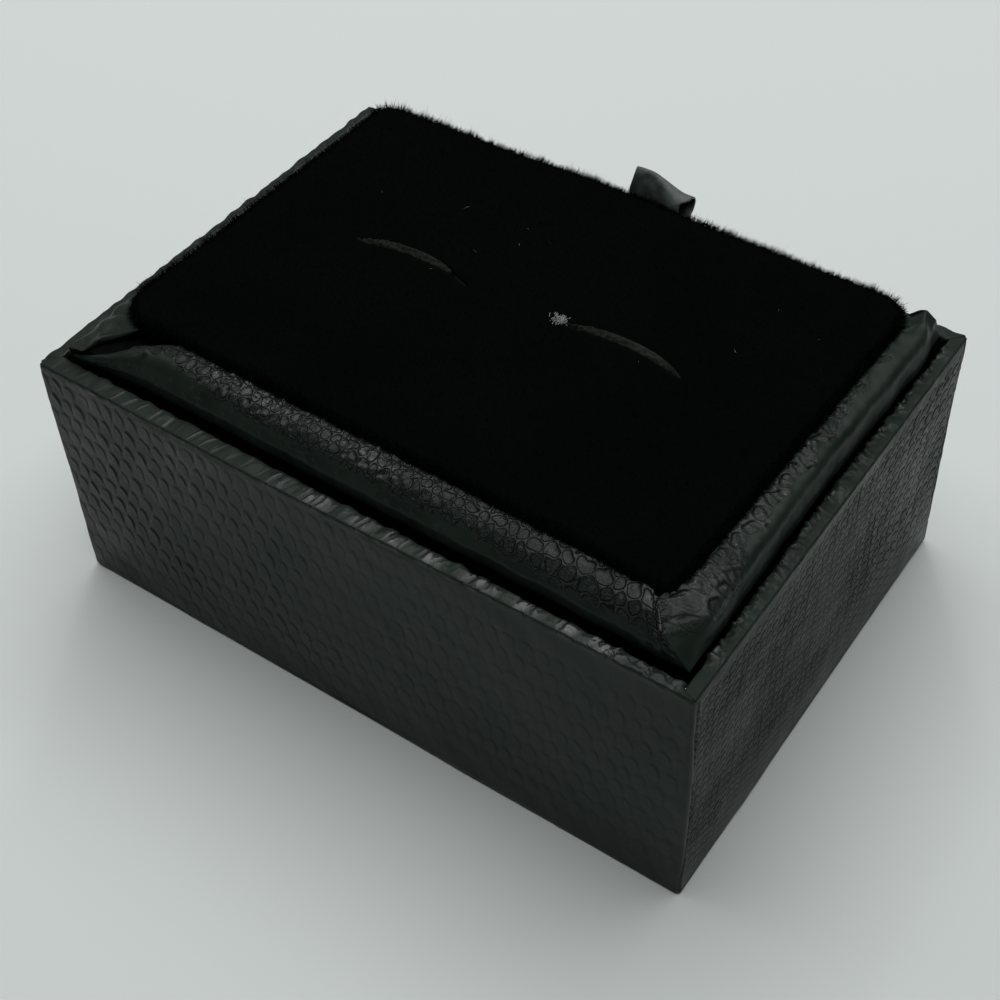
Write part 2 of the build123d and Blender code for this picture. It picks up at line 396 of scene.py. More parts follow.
def node_group(name, inputs, outputs):
    """An empty shader group with its sockets, and its two ends."""
    group = bpy.data.node_groups.new(name, "ShaderNodeTree")
    for label, kind, default in inputs:
        socket = group.interface.new_socket(name=label, in_out="INPUT", socket_type=kind)
        if default is not None:
            socket.default_value = default
    for label, kind in outputs:
        group.interface.new_socket(name=label, in_out="OUTPUT", socket_type=kind)
    return group, group.nodes.new("NodeGroupInput"), group.nodes.new("NodeGroupOutput")


def put(tree, value, socket):
    """Links an output to an input socket, or writes a plain value into it."""
    if isinstance(value, bpy.types.NodeSocket):
        tree.links.new(value, socket)
    else:
        socket.default_value = value


def maths(tree, operation, *values):
    """A Math node over sockets or plain numbers, and its output."""
    node = tree.nodes.new("ShaderNodeMath")
    node.operation = operation
    for value, socket in zip(values, node.inputs):
        put(tree, value, socket)
    return node.outputs[0]


def times(tree, first, second):
    """The product of two values."""
    return maths(tree, "MULTIPLY", first, second)


def bell(tree, value, middle, reach):
    """A bell curve of height 1: exp(-((value - middle) / reach)^2)."""
    off = maths(tree, "DIVIDE", maths(tree, "SUBTRACT", value, middle), reach)
    return maths(tree, "EXPONENT", times(tree, times(tree, off, off), -1.0))


def vector_maths(tree, operation, first, second=None, output=0):
    """A Vector Math node, and one of its outputs."""
    node = tree.nodes.new("ShaderNodeVectorMath")
    node.operation = operation
    put(tree, first, node.inputs[0])
    if second is not None:
        put(tree, second, node.inputs["Scale" if operation == "SCALE" else 1])
    return node.outputs[output]


def filled(tree, kind, **values):
    """A new node with sockets or plain values put into its named inputs."""
    node = tree.nodes.new(kind)
    for label, value in values.items():
        put(tree, value, node.inputs[label.replace("_", " ")])
    return node


def remap(tree, value, low, high, to_low=0.0, to_high=1.0):
    """A smooth Map Range node."""
    node = filled(
        tree, "ShaderNodeMapRange", Value=value, From_Min=low, From_Max=high, To_Min=to_low, To_Max=to_high,
    )
    node.interpolation_type = "SMOOTHSTEP"
    return node.outputs["Result"]


def noise(tree, vector, scale, detail=2.0, roughness=0.5, distortion=0.0):
    """A Noise Texture node's factor."""
    node = filled(
        tree, "ShaderNodeTexNoise", Vector=vector, Scale=scale, Detail=detail, Roughness=roughness,
        Distortion=distortion,
    )
    return node.outputs["Fac"]


def blend_colours(tree, factor, first, second):
    """A mix of two colours, each a plain value or a socket."""
    node = tree.nodes.new("ShaderNodeMix")
    node.data_type = "RGBA"
    put(tree, factor, node.inputs[0])
    put(tree, first, node.inputs[6])
    put(tree, second, node.inputs[7])
    return node.outputs[2]


def shade_of(colour, strength=1.0):
    """A colour made darker or lighter, with its alpha."""
    return (*(min(1.0, c * strength) for c in colour), 1)


def bump(tree, height):
    """A Bump node's normal, with the height in millimetres."""
    return filled(tree, "ShaderNodeBump", Height=height, Strength=1.0, Distance=METRE).outputs["Normal"]


def attribute(tree, name):
    """One of the mesh's own masks."""
    node = tree.nodes.new("ShaderNodeAttribute")
    node.attribute_name = name
    return node.outputs["Fac"]


def new_material(name, **constants):
    """A Principled material with plain values set on its shader.

    Also gives its tree, its shader's inputs and the outputs of its texture coordinates.
    """
    material = bpy.data.materials.new(name)
    material.use_nodes = True
    tree = material.node_tree
    shader = tree.nodes["Principled BSDF"].inputs
    for label, value in constants.items():
        shader[label.replace("_", " ")].default_value = value
    return material, tree, shader, tree.nodes.new("ShaderNodeTexCoord").outputs


def scale_group(name):
    """Scale lattice: a cell position in, and masks of the dish, its outline and its crescent out.

    The crescent is the part of the outline that faces the way of Lean, where the stamp cut in
    steepest. The leatherette sinks the outline and the crescent a little and darkens both in its
    colour as painted shade, in the grooves and on each scale's shaded side.
    """
    group, start, end = node_group(
        name,
        [
            ("Cells", "NodeSocketVector", None), ("Lean", "NodeSocketVector", (0.4, -0.9, 0.0)),
            ("Breadth", "NodeSocketFloat", 0.085),
        ],
        [("Dish", "NodeSocketFloat"), ("Outline", "NodeSocketFloat"), ("Crescent", "NodeSocketFloat")],
    )
    split = group.nodes.new("ShaderNodeSeparateXYZ")
    group.links.new(start.outputs["Cells"], split.inputs[0])
    steps, found = [], []
    for shift in (0.0, 0.5):
        x = maths(group, "ADD", split.outputs["X"], shift)
        x = maths(group, "SUBTRACT", x, maths(group, "ROUND", x))
        y = times(group, maths(group, "ADD", split.outputs["Y"], 2 * shift), 0.5)
        y = times(group, maths(group, "SUBTRACT", y, maths(group, "ROUND", y)), 2 * ROW_RATIO)
        steps.append(filled(group, "ShaderNodeCombineXYZ", X=x, Y=y).outputs[0])
        found.append(vector_maths(group, "LENGTH", steps[-1], output=1))
    distance = maths(group, "MINIMUM", *found)
    nearest = group.nodes.new("ShaderNodeMix")
    nearest.data_type = "VECTOR"
    put(group, maths(group, "LESS_THAN", found[1], found[0]), nearest.inputs[0])
    put(group, steps[0], nearest.inputs[4])
    put(group, steps[1], nearest.inputs[5])
    towards = vector_maths(group, "NORMALIZE", nearest.outputs[1])
    facing = vector_maths(group, "DOT_PRODUCT", towards, start.outputs["Lean"], output=1)
    broad = bell(group, distance, 0.385, start.outputs["Breadth"])
    put(group, remap(group, distance, 0.37, 0.46, 1.0, 0.0), end.inputs["Dish"])
    put(group, bell(group, distance, 0.43, 0.044), end.inputs["Outline"])
    put(group, times(group, broad, remap(group, facing, 0.25, 0.95)), end.inputs["Crescent"])
    return group


def crinkle_group(name):
    """Fine crinkle: a position in, crumpled height and slow mottling out."""
    group, start, end = node_group(
        name,
        [("Vector", "NodeSocketVector", None), ("Size", "NodeSocketFloat", 1.0)],
        [("Height", "NodeSocketFloat"), ("Mottle", "NodeSocketFloat")],
    )
    scaled = vector_maths(group, "SCALE", start.outputs["Vector"], start.outputs["Size"])
    fine = noise(group, scaled, 2700, 3.0, 0.6, 0.8)
    ridge = maths(group, "ABSOLUTE", maths(group, "SUBTRACT", fine, 0.5))
    ridge = maths(group, "SUBTRACT", 1.0, times(group, ridge, 5.0))
    coarse = noise(group, scaled, 1500, 2.0, 0.5, 0.3)
    put(group, maths(group, "ADD", times(group, ridge, 0.6), coarse), end.inputs["Height"])
    put(group, noise(group, scaled, 160, 3.0, 0.55), end.inputs["Mottle"])
    return group


def grouped(tree, name, build, **values):
    """A group node in a material's tree, with its group built the first time."""
    node = tree.nodes.new("ShaderNodeGroup")
    node.node_tree = bpy.data.node_groups.get(name) or build(name)
    for label, value in values.items():
        put(tree, value, node.inputs[label])
    return node.outputs


def leatherette_material(name, colour, lines, crinkle, crescent_form, gloss_on_folds):
    """Embossed paper: dark crescents and outlines in the scales, crinkled and polished high spots.

    Lines gives the strength of the thin outline and of the crescent, which darken the colour as
    painted shade in the grooves and on each scale's shaded side, and the depth of the outline in
    millimetres. Crinkle gives its depth in the scales and everywhere. Crescent_form gives the
    crescent's breadth in cells and the way it faces. The crumple mask, which stands on rims and
    rings, carries the polish.
    """
    outline_shade_strength, crescent_shade_strength, outline_depth = lines
    breadth, lean = crescent_form
    material, tree, shader, place = new_material(
        name, Specular_IOR_Level=0.13, Coat_Roughness=0.22, Coat_IOR=1.5,
    )
    cells = vector_maths(tree, "SCALE", place["UV"], CELLS_PER_UV)
    lattice = grouped(tree, "Scale lattice", scale_group, Cells=cells, Lean=(*lean, 0), Breadth=breadth)
    wrinkles = grouped(tree, "Fine crinkle", crinkle_group, Vector=place["Object"])
    mottle = wrinkles["Mottle"]
    emboss, crumple, dull = (attribute(tree, label) for label in ("emboss", "crumple", "dull"))
    outline = times(tree, lattice["Outline"], emboss)
    patches = remap(tree, mottle, 0.3, 0.62, 0.55, 1.0)
    crescent = times(tree, times(tree, lattice["Crescent"], emboss), patches)
    dish = times(tree, lattice["Dish"], emboss)
    depth = maths(tree, "MULTIPLY_ADD", dish, *crinkle)
    depth = maths(tree, "MULTIPLY_ADD", crumple, 0.14, depth)
    height = times(tree, wrinkles["Height"], depth)
    height = maths(tree, "MULTIPLY_ADD", outline, -outline_depth, height)
    height = maths(tree, "MULTIPLY_ADD", crescent, -outline_depth, height)
    put(tree, bump(tree, height), shader["Normal"])
    # Painted shade: the crescents and outlines darken the base colour to as little as a tenth of it, standing
    # for the shadow on each scale's shaded side and in its grooves. Where they do, the surface is also
    # rougher and has less coat.
    painted_shade = maths(tree, "MULTIPLY_ADD", crescent, crescent_shade_strength, times(tree, outline, outline_shade_strength))
    painted_shade = maths(tree, "MINIMUM", painted_shade, 1.0)
    slow = remap(tree, mottle, 0.35, 0.65)
    mottled = blend_colours(tree, slow, shade_of(colour, 0.86), shade_of(colour, 1.16))
    put(tree, blend_colours(tree, painted_shade, mottled, shade_of(colour, 0.1)), shader["Base Color"])
    matt = maths(tree, "MULTIPLY_ADD", dull, 0.3, remap(tree, mottle, 0.3, 0.7, 0.31, 0.42))
    put(tree, maths(tree, "MULTIPLY_ADD", painted_shade, 0.25, matt), shader["Roughness"])
    worn = remap(tree, mottle, 0.25, 0.6, 0.35, 1.0)
    polish = times(tree, times(tree, crumple, gloss_on_folds), worn)
    polish = times(tree, polish, maths(tree, "SUBTRACT", 1.0, painted_shade))
    put(tree, maths(tree, "MINIMUM", polish, 1.0), shader["Coat Weight"])
    return material


def fibre_group(name):
    """Fibrous noise: a position and a grain in, fine fibres and their slower shade out."""
    group, start, end = node_group(
        name,
        [("Vector", "NodeSocketVector", None), ("Grain", "NodeSocketFloat", 900.0)],
        [("Fibres", "NodeSocketFloat"), ("Shade", "NodeSocketFloat")],
    )
    scaled = vector_maths(group, "SCALE", start.outputs["Vector"], start.outputs["Grain"])
    fine = noise(group, scaled, 1.0, 4.0, 0.6)
    slow = noise(group, scaled, 0.11, 2.0, 0.5)
    put(group, fine, end.inputs["Fibres"])
    put(group, maths(group, "MULTIPLY_ADD", slow, 0.5, times(group, fine, 0.5)), end.inputs["Shade"])
    return group


def fibrous_material(name, dark, light, roughness, grain, depth, specular=0.4):
    """Board, paper or foam: two shades through a fibrous noise, with its bump."""
    material, tree, shader, place = new_material(name, Specular_IOR_Level=specular)
    fibres = grouped(tree, "Fibrous noise", fibre_group, Vector=place["Object"], Grain=grain)
    fine = fibres["Fibres"]
    shade = remap(tree, fibres["Shade"], 0.38, 0.62)
    matt = remap(tree, fine, 0.3, 0.7, roughness - 0.06, min(1.0, roughness + 0.06))
    put(tree, blend_colours(tree, shade, shade_of(dark), shade_of(light)), shader["Base Color"])
    put(tree, matt, shader["Roughness"])
    put(tree, bump(tree, times(tree, fine, depth)), shader["Normal"])
    return material


def greyboard():
    """The pulp board of the walls, the floor and the pad."""
    return bpy.data.materials.get("greyboard") or fibrous_material(
        "greyboard", (0.12, 0.115, 0.10), (0.24, 0.23, 0.21), 0.85, 1100, 0.03,
    )


def velvet_material(name, colour):
    """Black pile: almost no shine, clumped by noise, with a faint sheen where it is seen edge on."""
    material, tree, shader, place = new_material(
        name, Specular_IOR_Level=0.02, Roughness=0.95, Sheen_Weight=0.007, Sheen_Roughness=0.45,
        Sheen_Tint=(0.7, 0.9, 0.8, 1),
    )
    clump = noise(tree, place["Object"], 1700, 3.0, 0.65)
    drift = noise(tree, place["Object"], 90, 2.0, 0.5)
    shade = maths(tree, "MULTIPLY_ADD", drift, 0.6, times(tree, clump, 0.4))
    shade = remap(tree, shade, 0.35, 0.65)
    mixed = blend_colours(tree, shade, shade_of(colour, 0.85), shade_of(colour, 1.25))
    put(tree, mixed, shader["Base Color"])
    put(tree, bump(tree, times(tree, clump, 0.06)), shader["Normal"])
    return material


RIB_PITCH = 0.16
THREAD_PITCH = 0.11


def ribbon_material(name, colour):
    """Satin ribbon: fine ribs across it, sheen, and a paler worn face."""
    material, tree, shader, place = new_material(
        name, Specular_IOR_Level=0.55, Anisotropic=0.4, Sheen_Weight=0.25, Sheen_Roughness=0.35,
    )
    cells = vector_maths(tree, "SCALE", place["UV"], CELLS_PER_UV)
    split = filled(tree, "ShaderNodeSeparateXYZ", Vector=cells).outputs
    rib = maths(tree, "SINE", times(tree, split["Y"], math.tau / RIB_PITCH))
    thread = maths(tree, "SINE", times(tree, split["X"], math.tau / THREAD_PITCH))
    weave = maths(tree, "MULTIPLY_ADD", thread, 0.35, rib)
    patch = noise(tree, place["Object"], 1300, 4.0, 0.7)
    shade = remap(tree, maths(tree, "MULTIPLY_ADD", weave, 0.1, patch), 0.35, 0.7)
    mixed = blend_colours(tree, shade, shade_of(colour, 0.6), shade_of(colour, 1.7))
    put(tree, mixed, shader["Base Color"])
    put(tree, remap(tree, patch, 0.3, 0.7, 0.38, 0.52), shader["Roughness"])
    put(tree, bump(tree, times(tree, weave, 0.008)), shader["Normal"])
    return material


# ---------------------------------------------------------------- base


CORNER_ROUND = 0.42
SEAM_DIP = 0.14           # how deep a covering dips to its cut edges
UNDER_LAP = 0.24          # how far a short side's covering sinks under its neighbours' laps
BACK_DEPTH = 0.93 * SKIN  # from a covering's face to its back
TURN_IN = 10.0
TURN_UNDER = 5.0
SEAM_TURN = 0.78
RIM_JOINS = {
    ("front", 0): (1.54, 1.1),
    ("left", 1): (0.65, -1.55),
    ("front", 1): (2.0, 0.0),
    ("right", 0): (0.5, 0.0),
}


def wall_profile(step):
    """The covering's outer line over a wall, as outward distance from the face and height.

    It climbs the inside of the well, rounds over the rim, comes down the face, and turns in
    under the floor. Its normals point away from the board.
    """
    low = BASE_LOW[2]
    fine_from = (-RIM, BASE_TOP - 2)
    corners = [(-RIM, BASE_TOP), (0, BASE_TOP), (0, low), (-TURN_UNDER, low)]
    well = rounded_path([(-RIM, BASE_TOP - TURN_IN), fine_from], [], 1.0)
    rest = rounded_path([fine_from, *corners], [0.35, 0.26, 0.25], step)
    points = np.concatenate([well[:-1], rest])
    normals, length = path_normals(points)
    over = np.argmin(np.abs(points[:, 0]) + np.abs(points[:, 1] - BASE_TOP))
    return points, normals, length - length[over]


def rim_width(side, along):
    """Width of the rim, which isn't the same all along a hand-folded wall.

    It narrows in a straight line along the front, has a bell in the middle of the right side,
    and waves as a slow cosine on the others.
    """
    if side == "front":
        return np.maximum(RIM + 0.18 - 0.43 * along / LENGTH_HALF, RIM - 0.22)
    if side == "right":
        return RIM - 0.15 + 0.38 * hump(along, 2, 15)
    return RIM + 0.1 * np.cos(along / 9)


def wall_bow(side, along, z):
    """How far a wall's top stands out: a bell along the front, rising with height."""
    if side == "front":
        return 0.3 * hump(along, -8, 17) * ease(z, 22, 31.5)
    return 0 * along


def face_emboss(side, along, height):
    """How strongly the embossing shows over a wall, from 0 to 1.

    The product of a fade along the wall, one up from the foot, one under the head, and slow
    patches.
    """
    swell = patchy(along, height, 14, 31, 0.8, 0.2)
    if side == "front":
        across = 1 - 0.6 * ease(along, -32, 8)
        foot = 0.35 + 0.65 * ease(height, 1.5, 9)
        head = 1 - ease(along, -6, 22) * ease(height, 26.5, 31.0) * 0.8
        return across * foot * head * swell
    if side == "right":
        foot = 0.12 + 0.88 * ease(height, 0.5, 8 + 0.12 * (along + WIDTH_HALF))
        head = 1 - 0.85 * ease(height, 29.6, 31.3)
        return (0.85 + 0.15 * ease(along, -8, 18)) * foot * head * swell
    return (0.25 + 0.75 * ease(height, 1, 7)) * (1 - 0.7 * ease(height, 29.5, 31.4)) * swell


def seam_turn(end, z):
    """How far the long sides' coverings lap round an upright edge.

    The cut wanders as two sines of the height, and draws in to nothing at the foot.
    """
    wander = 0.1 * np.sin(z / 1.7 + 2 * end) + 0.07 * np.sin(z / 0.63 + end)
    return np.maximum(SEAM_TURN + wander - 0.75 * ease(6.5 - z, 0, 5), 0.02)


def on_wall_face(o, z):
    """1 on a wall's upright face and 0 on its rim and underneath."""
    return ease(z, BASE_TOP - 0.35, BASE_TOP - 1.1) * ease(z, 0.2, 0.7) * (o > -CORNER_ROUND)


def wall_ends(side, end, o, z):
    """How far along a wall its covering reaches, at each point of its profile.

    On the rim the two coverings meet on the line along = half + m * (o + c), with o the distance
    outwards from the face. On the face the long sides turn on round the upright edge, over the
    short sides.
    """
    half = SIDES[side][2]
    slope, shift = RIM_JOINS.get((side, end), (1.0, 0.0))
    core = half - CORNER_ROUND
    on_rim = ease(z, BASE_TOP - 0.75, BASE_TOP - 0.3)
    plain = half + np.minimum(o, 0)
    joined = half + np.clip(slope * (o + shift), -RIM, 0)
    lap = (0.15 if side in ("left", "right") else 0.05) + 0.22 * ease(-o, RIM - 0.5, RIM - 0.1)
    meet = plain * (1 - on_rim) + joined * on_rim + lap * on_rim
    bent = core + (meet - core) * math.pi / 4
    rim = np.where(meet > core, bent, meet)
    face = core + CORNER_ROUND * math.pi / 2 + np.maximum(seam_turn(end, z) - CORNER_ROUND, -0.35)
    if side in ("left", "right"):
        face = half - 0.06
    on_face = on_wall_face(o, z)
    return rim * (1 - on_face) + face * on_face


def wall_place(side, along, o, z):
    """Plan position of points on a wall: straight to the corner's arc, round it, and on.

    Past the arc's start the angle is (|along| - core) / r, the radius is r + o, and beyond a
    quarter turn the run goes straight on along the next wall.
    """
    (ax, ay), (nx, ny), half, reach = SIDES[side]
    core = half - CORNER_ROUND
    beyond = np.abs(along) - core
    radius = np.maximum(CORNER_ROUND + o, 0)
    angle = np.clip(beyond / CORNER_ROUND, 0, math.pi / 2)
    on = np.maximum(beyond - CORNER_ROUND * math.pi / 2, 0)
    arc = (beyond > 0) & (radius > 0)
    u = np.where(arc, core + radius * np.sin(angle), np.abs(along)) * np.sign(along)
    n = np.where(arc, radius * np.cos(angle) - CORNER_ROUND - on, o) + reach
    return np.stack([ax * u + nx * n, ay * u + ny * n, z + 0 * u], -1)


def side_cells(along, v):
    """Cell coordinates on a short wall, whose sheet was stamped the other way round.

    Columns stand 1.2 mm apart near the front and 1.9 mm at the back, and the scales of a column
    1.15 to 1.6 mm. Across counts down a column, and along counts the columns.
    """
    stations = np.array([-29, -12, 6, 12, 18, 29], float)
    fine = np.linspace(-29, 29, 1161)
    pitch = np.interp(fine, stations, [1.2, 1.22, 1.32, 1.6, 1.85, 1.95])
    count = np.concatenate([[0], np.cumsum(np.diff(fine) / pitch[1:])])
    down = np.interp(along, stations, [1.15, 1.15, 1.15, 1.32, 1.55, 1.6])
    return (v - 9) / down, np.interp(along, fine, count)


def wall_relief(side, along, v, z, settings):
    """Height of the covering over its smooth form, its lattice, and its three masks.

    Raised scales, slow waviness of the board, slanted blocks across the rim, and a crumple that
    grows towards the front right corner.
    """
    half = SIDES[side][2]
    from_end = half - np.abs(along)
    short_wall = side in ("right", "left")
    seed = {"front": 0, "right": 3, "back": 7, "left": 11}[side]
    if short_wall:
        across, down = side_cells(along, v)
    else:
        across = along / (settings.pitch / METRE) + seed
        down = v / (settings.row / METRE + 0.004 * along) + seed
    across = across + 0.06 * waves(along, v, 9, 5 + seed) + 0.035 * waves(along, v, 2.5, 8)
    down = down + 0.06 * waves(along, v, 9, 6 + seed) + 0.035 * waves(along, v, 2.5, 9)

    on_face = ease(v, 0.35, 0.9) * ease(z, 0.25, 0.6)
    upright = 0.3 + 0.7 * ease(from_end, 0.3, 1.6)
    emboss = on_face * upright * face_emboss(side, along, z)
    lean = (0.8, -0.1) if short_wall else (0.5, -0.75)
    relief = settings.relief / METRE * (1.6 if short_wall else 1.0)
    uneven = patchy(along, v, 3.2, 36 + seed, 0.8, 0.35)
    height = relief * emboss * uneven * raised_scales(across, down, lean)
    board = 0.05 * waves(along, v, 22, 40 + seed) + 0.016 * waves(along, v, 4.5, 41)
    height = height + board * on_face

    rim = ease(v, -RIM - 0.5, -RIM + 0.1) * (1 - ease(v, 0.0, 0.4))
    smooth_end = 1 - ease(np.abs(along), half - 2.6, half - 1.2)
    if side == "right":
        smooth_end = smooth_end * ease(along, -25.5, -23.5)
    slant = along / (1.45 if short_wall else 1.78) + 0.35 * v / RIM + 0.1 * waves(along, v, 5, 77 + seed)
    if short_wall:
        slant = slant + 0.22 * waves(along, v, 2.6, 76 + seed)
    block = slant - np.round(slant)
    groove = hump(np.abs(block), 0.5, 0.07)
    ridge = hump(block, 0.33, 0.07)
    whole = 0.25 if short_wall else 0.12 + 0.88 * ease(along, -20, 0)
    strength = patchy(along, 0 * along, 3.1, 78 + seed, 0.6, 0.4)
    crest = hump(v, -0.95 * RIM, 0.6) if short_wall else hump(v, -0.55 * RIM, 0.95)
    torn = np.clip(waves(along, 1.4 * v, 0.9, 79 + seed), 0, 1) if short_wall else 0 * along
    block_form = 0.5 * (1 - (2 * block) ** 2) * whole + 0.7 * ridge - 1.2 * groove
    depth = 0.2 if short_wall else 0.14
    height = height + rim * smooth_end * block_form * depth * strength * (0.1 + 0.9 * crest)
    shine = np.clip(whole + (1 - whole) * ridge * 1.8 + torn, 0, 1) * (1 - 0.8 * groove)
    crumple = rim * smooth_end * strength * (0.2 + 0.8 * crest) * shine
    corner = {"front": ease(along, 26, 39), "right": 1 - ease(along, -27, -12)}.get(side, 0.2)
    rough = 0.02 + 0.06 * corner + (0.05 if side == "right" else 0)
    height = height + rim * smooth_end * crest * rough * waves(along, v, 0.85, 91 + seed)
    height = height + rim * 0.05 * waves(along, 0 * along, 2.4, 92 + seed)
    height = height - rim * 0.08 * hump(from_end, 0.5, 0.9)
    if side == "front":
        pinch = crease(along, v, [(-40.2, -1.0), (-39.2, -1.75), (-38.3, -2.1)], 0.16)
        fold = crease(along, v, [(-39.9, -0.3), (-38.6, -1.2), (-37.6, -2.2)], 0.3)
        height = height - 0.22 * pinch + 0.1 * fold
    dull = rim * (1 - np.clip(1.5 * crumple, 0, 1))
    return height, np.stack([across, down], -1), emboss, crumple, dull


def make_wall(side, settings, material):
    """One wall's covering as a closed skin: a fine embossed face and a coarse back.

    point = profile(v) + height(along, v) * normal(v), carried along the wall and round its ends.
    Along is xi times the covering's reach, with xi from -1 to 1, so that it ends on its cuts.
    """
    step = settings.step / METRE
    points, normals, v = wall_profile(step)
    extra = (len(points) - 1) % COARSE
    keep = np.r_[0, 1 + extra : len(points)]
    points, normals, v = points[keep], normals[keep], v[keep, None]
    half = SIDES[side][2]
    fine = 0.6 if side in ("front", "right") else 1.0
    count = int(2 * half / (step * fine) // COARSE) * COARSE
    xi = np.linspace(-1, 1, count + 1)[None, :]
    o, z = points[:, :1], points[:, 1:]
    inner = np.clip(-o / RIM, 0, 1) * ease(z, 5, 20)
    wide = o * (1 + (rim_width(side, xi * half) / RIM - 1) * inner)
    wide = wide + wall_bow(side, xi * half, z) * ease(o, -RIM, 0)
    limits = [wall_ends(side, end, wide, z + 0 * wide) for end in (0, 1)]
    along = np.where(xi < 0, xi * limits[0], xi * limits[1])
    height, cells, emboss, crumple, dull = wall_relief(side, along, v + 0 * along, z + 0 * along, settings)
    at_seam = hump(np.minimum(limits[0] + along, limits[1] - along), 0, 0.16)
    height = height - SEAM_DIP * at_seam
    if side in ("left", "right"):
        for end, way in ((0, -1), (1, 1)):
            past_cut = way * along - half + seam_turn(end, z) + 0.08
            under = ease(past_cut, -0.07, 0.05) * on_wall_face(o, z)
            height = height - UNDER_LAP * under * (1 - at_seam)
    outer = wall_place(side, along, wide + height * normals[:, :1], z + height * normals[:, 1:])
    thin = (slice(None, None, COARSE), slice(None, None, COARSE))
    back = (wide - BACK_DEPTH * normals[:, :1], z - BACK_DEPTH * normals[:, 1:] + 0 * wide)
    inner_skin = wall_place(side, along[thin], back[0][thin], back[1][thin])
    ids = number_grid(along.shape)
    coarse = number_grid(inner_skin.shape, ids.size)
    closing = [
        merged_rim(ids[:, 0], coarse[:, 0]), merged_rim(ids[:, -1], coarse[:, -1])[:, ::-1],
        merged_rim(ids[0], coarse[0])[:, ::-1], merged_rim(ids[-1], coarse[-1]),
    ]
    both = lambda a: np.concatenate([a.reshape(ids.size, -1), a[thin].reshape(coarse.size, -1)])
    cloth = make_object(
        f"{side}_covering", np.concatenate([outer.reshape(-1, 3), inner_skin.reshape(-1, 3)]),
        [grid_quads(ids), grid_quads(coarse)[:, ::-1], np.concatenate(closing)], material, cells=both(cells),
        masks={"emboss": both(emboss), "crumple": both(crumple), "dull": both(dull)},
    )
    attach(cloth, "base")
    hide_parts(f"{side}_wrap")


# ---------------------------------------------------------------- insert


def pad_edge(side, along):
    """Outward distance of the pad's edge from the box's middle, along one side in plan.

    The pad sits one to one and a half degrees askew, and its back edge bows out a little.
    """
    if side == "front":
        return 21.5 + 0.018 * along + 0.35 * ease(along, 22, 33)
    if side == "right":
        return 34.4 + 0.028 * along
    if side == "back":
        bowed = 24.35 + 0.45 * (1 - (along / 35) ** 2)
        return bowed + 0.35 * hump(along, 2, 9) + 0.3 * hump(along, -30, 6)
    return 34.5 + 0.022 * along


COLLAR_SEAMS = {
    "front right": [
        (32.6, -21.9, 33.6), (32.9, -22.9, 35.95), (33.7, -24.3, 36.0), (35.0, -25.8, 35.1),
        (36.4, -26.25, 34.2), (38.1, -26.25, 32.4), (37.2, -25.6, 32.0),
    ],
    "front left": [
        (-36.3, -25.2, 32.6), (-36.5, -25.7, 33.05), (-36.65, -25.9, 33.0), (-36.8, -26.0, 32.9),
        (-36.9, -26.05, 32.6), (-36.9, -25.85, 32.2), (-36.3, -25.2, 32.05),
    ],
    "left front": [
        (-32.0, -20.3, 33.6), (-31.4, -20.5, 34.95), (-34.75, -23.6, 34.4), (-35.5, -26.0, 33.85),
        (-37.2, -26.15, 33.7), (-37.35, -25.95, 32.2), (-36.5, -24.9, 32.0),
    ],
    "back right": [
        (33.4, 23.6, 34.0), (33.6, 24.0, 35.0), (34.7, 24.9, 34.75), (36.1, 25.25, 36.1),
        (37.2, 25.45, 35.1), (37.75, 25.8, 32.8), (37.0, 25.2, 32.0),
    ],
}
SEAM_STATIONS = (0.0, 0.22, 0.38, 0.53, 0.65, 0.87, 1.0)
SEAM_REACH = {"front right": 3.5, "front left": 10.5, "left front": 7.0, "back right": 4.0}
STRIP_WIDTH = {"front": 4.2, "right": 2.9, "back": 1.6, "left": 2.5}
PAD_REACH = {"front": 21.3, "right": 34.4, "back": 23.9, "left": 34.8}


def collar_tops(side):
    """A strip's outer and inner height, the round between its top and face, and the face's lean."""
    if side == "front":
        return RIDGE - 0.2, RIDGE, 2.1, 1.5
    if side == "right":
        return RIDGE - 0.45, RIDGE, 0.9, 0.35
    inner = box_mm(f"{side}_collar_cover")[1][2]
    return PLATFORM_TOP + (0.55 if side == "back" else 0.1), inner, 0.5, 0.0


def collar_loop(side, width, step):
    """A closed section of a strip: inward distance from its outer face, and height.

    It climbs beside the pad, goes over the top and down the outside, turns in under the
    platform's edge, and comes back round the edge to its start.
    """
    outer, inner, outer_round, slope = collar_tops(side)
    bottom = BASE_TOP
    face = [(slope, outer), (0.12 * slope, PLATFORM_TOP + 0.1), (0, bottom)]
    bends = [outer_round, 1.0, 0.3]
    if not slope:
        face, bends = [face[0], face[2]], [outer_round, 0.3]
    seen = rounded_path(
        [(width, PLATFORM_TOP), (width, inner), *face, (1.2, bottom)], [0.5, *bends], step, 9,
    )
    inside = 2 * SKIN + 0.4 * slope
    hidden = np.array([
        (3.0, bottom), (3.0, bottom + SKIN), (2 * SKIN, bottom + SKIN), (inside, PLATFORM_TOP),
        (0.5 * (width + inside), PLATFORM_TOP),
    ])
    normals, length = path_normals(seen)
    return seen, -normals if normals[len(seen) // 2, 1] < 0 else normals, length, hidden


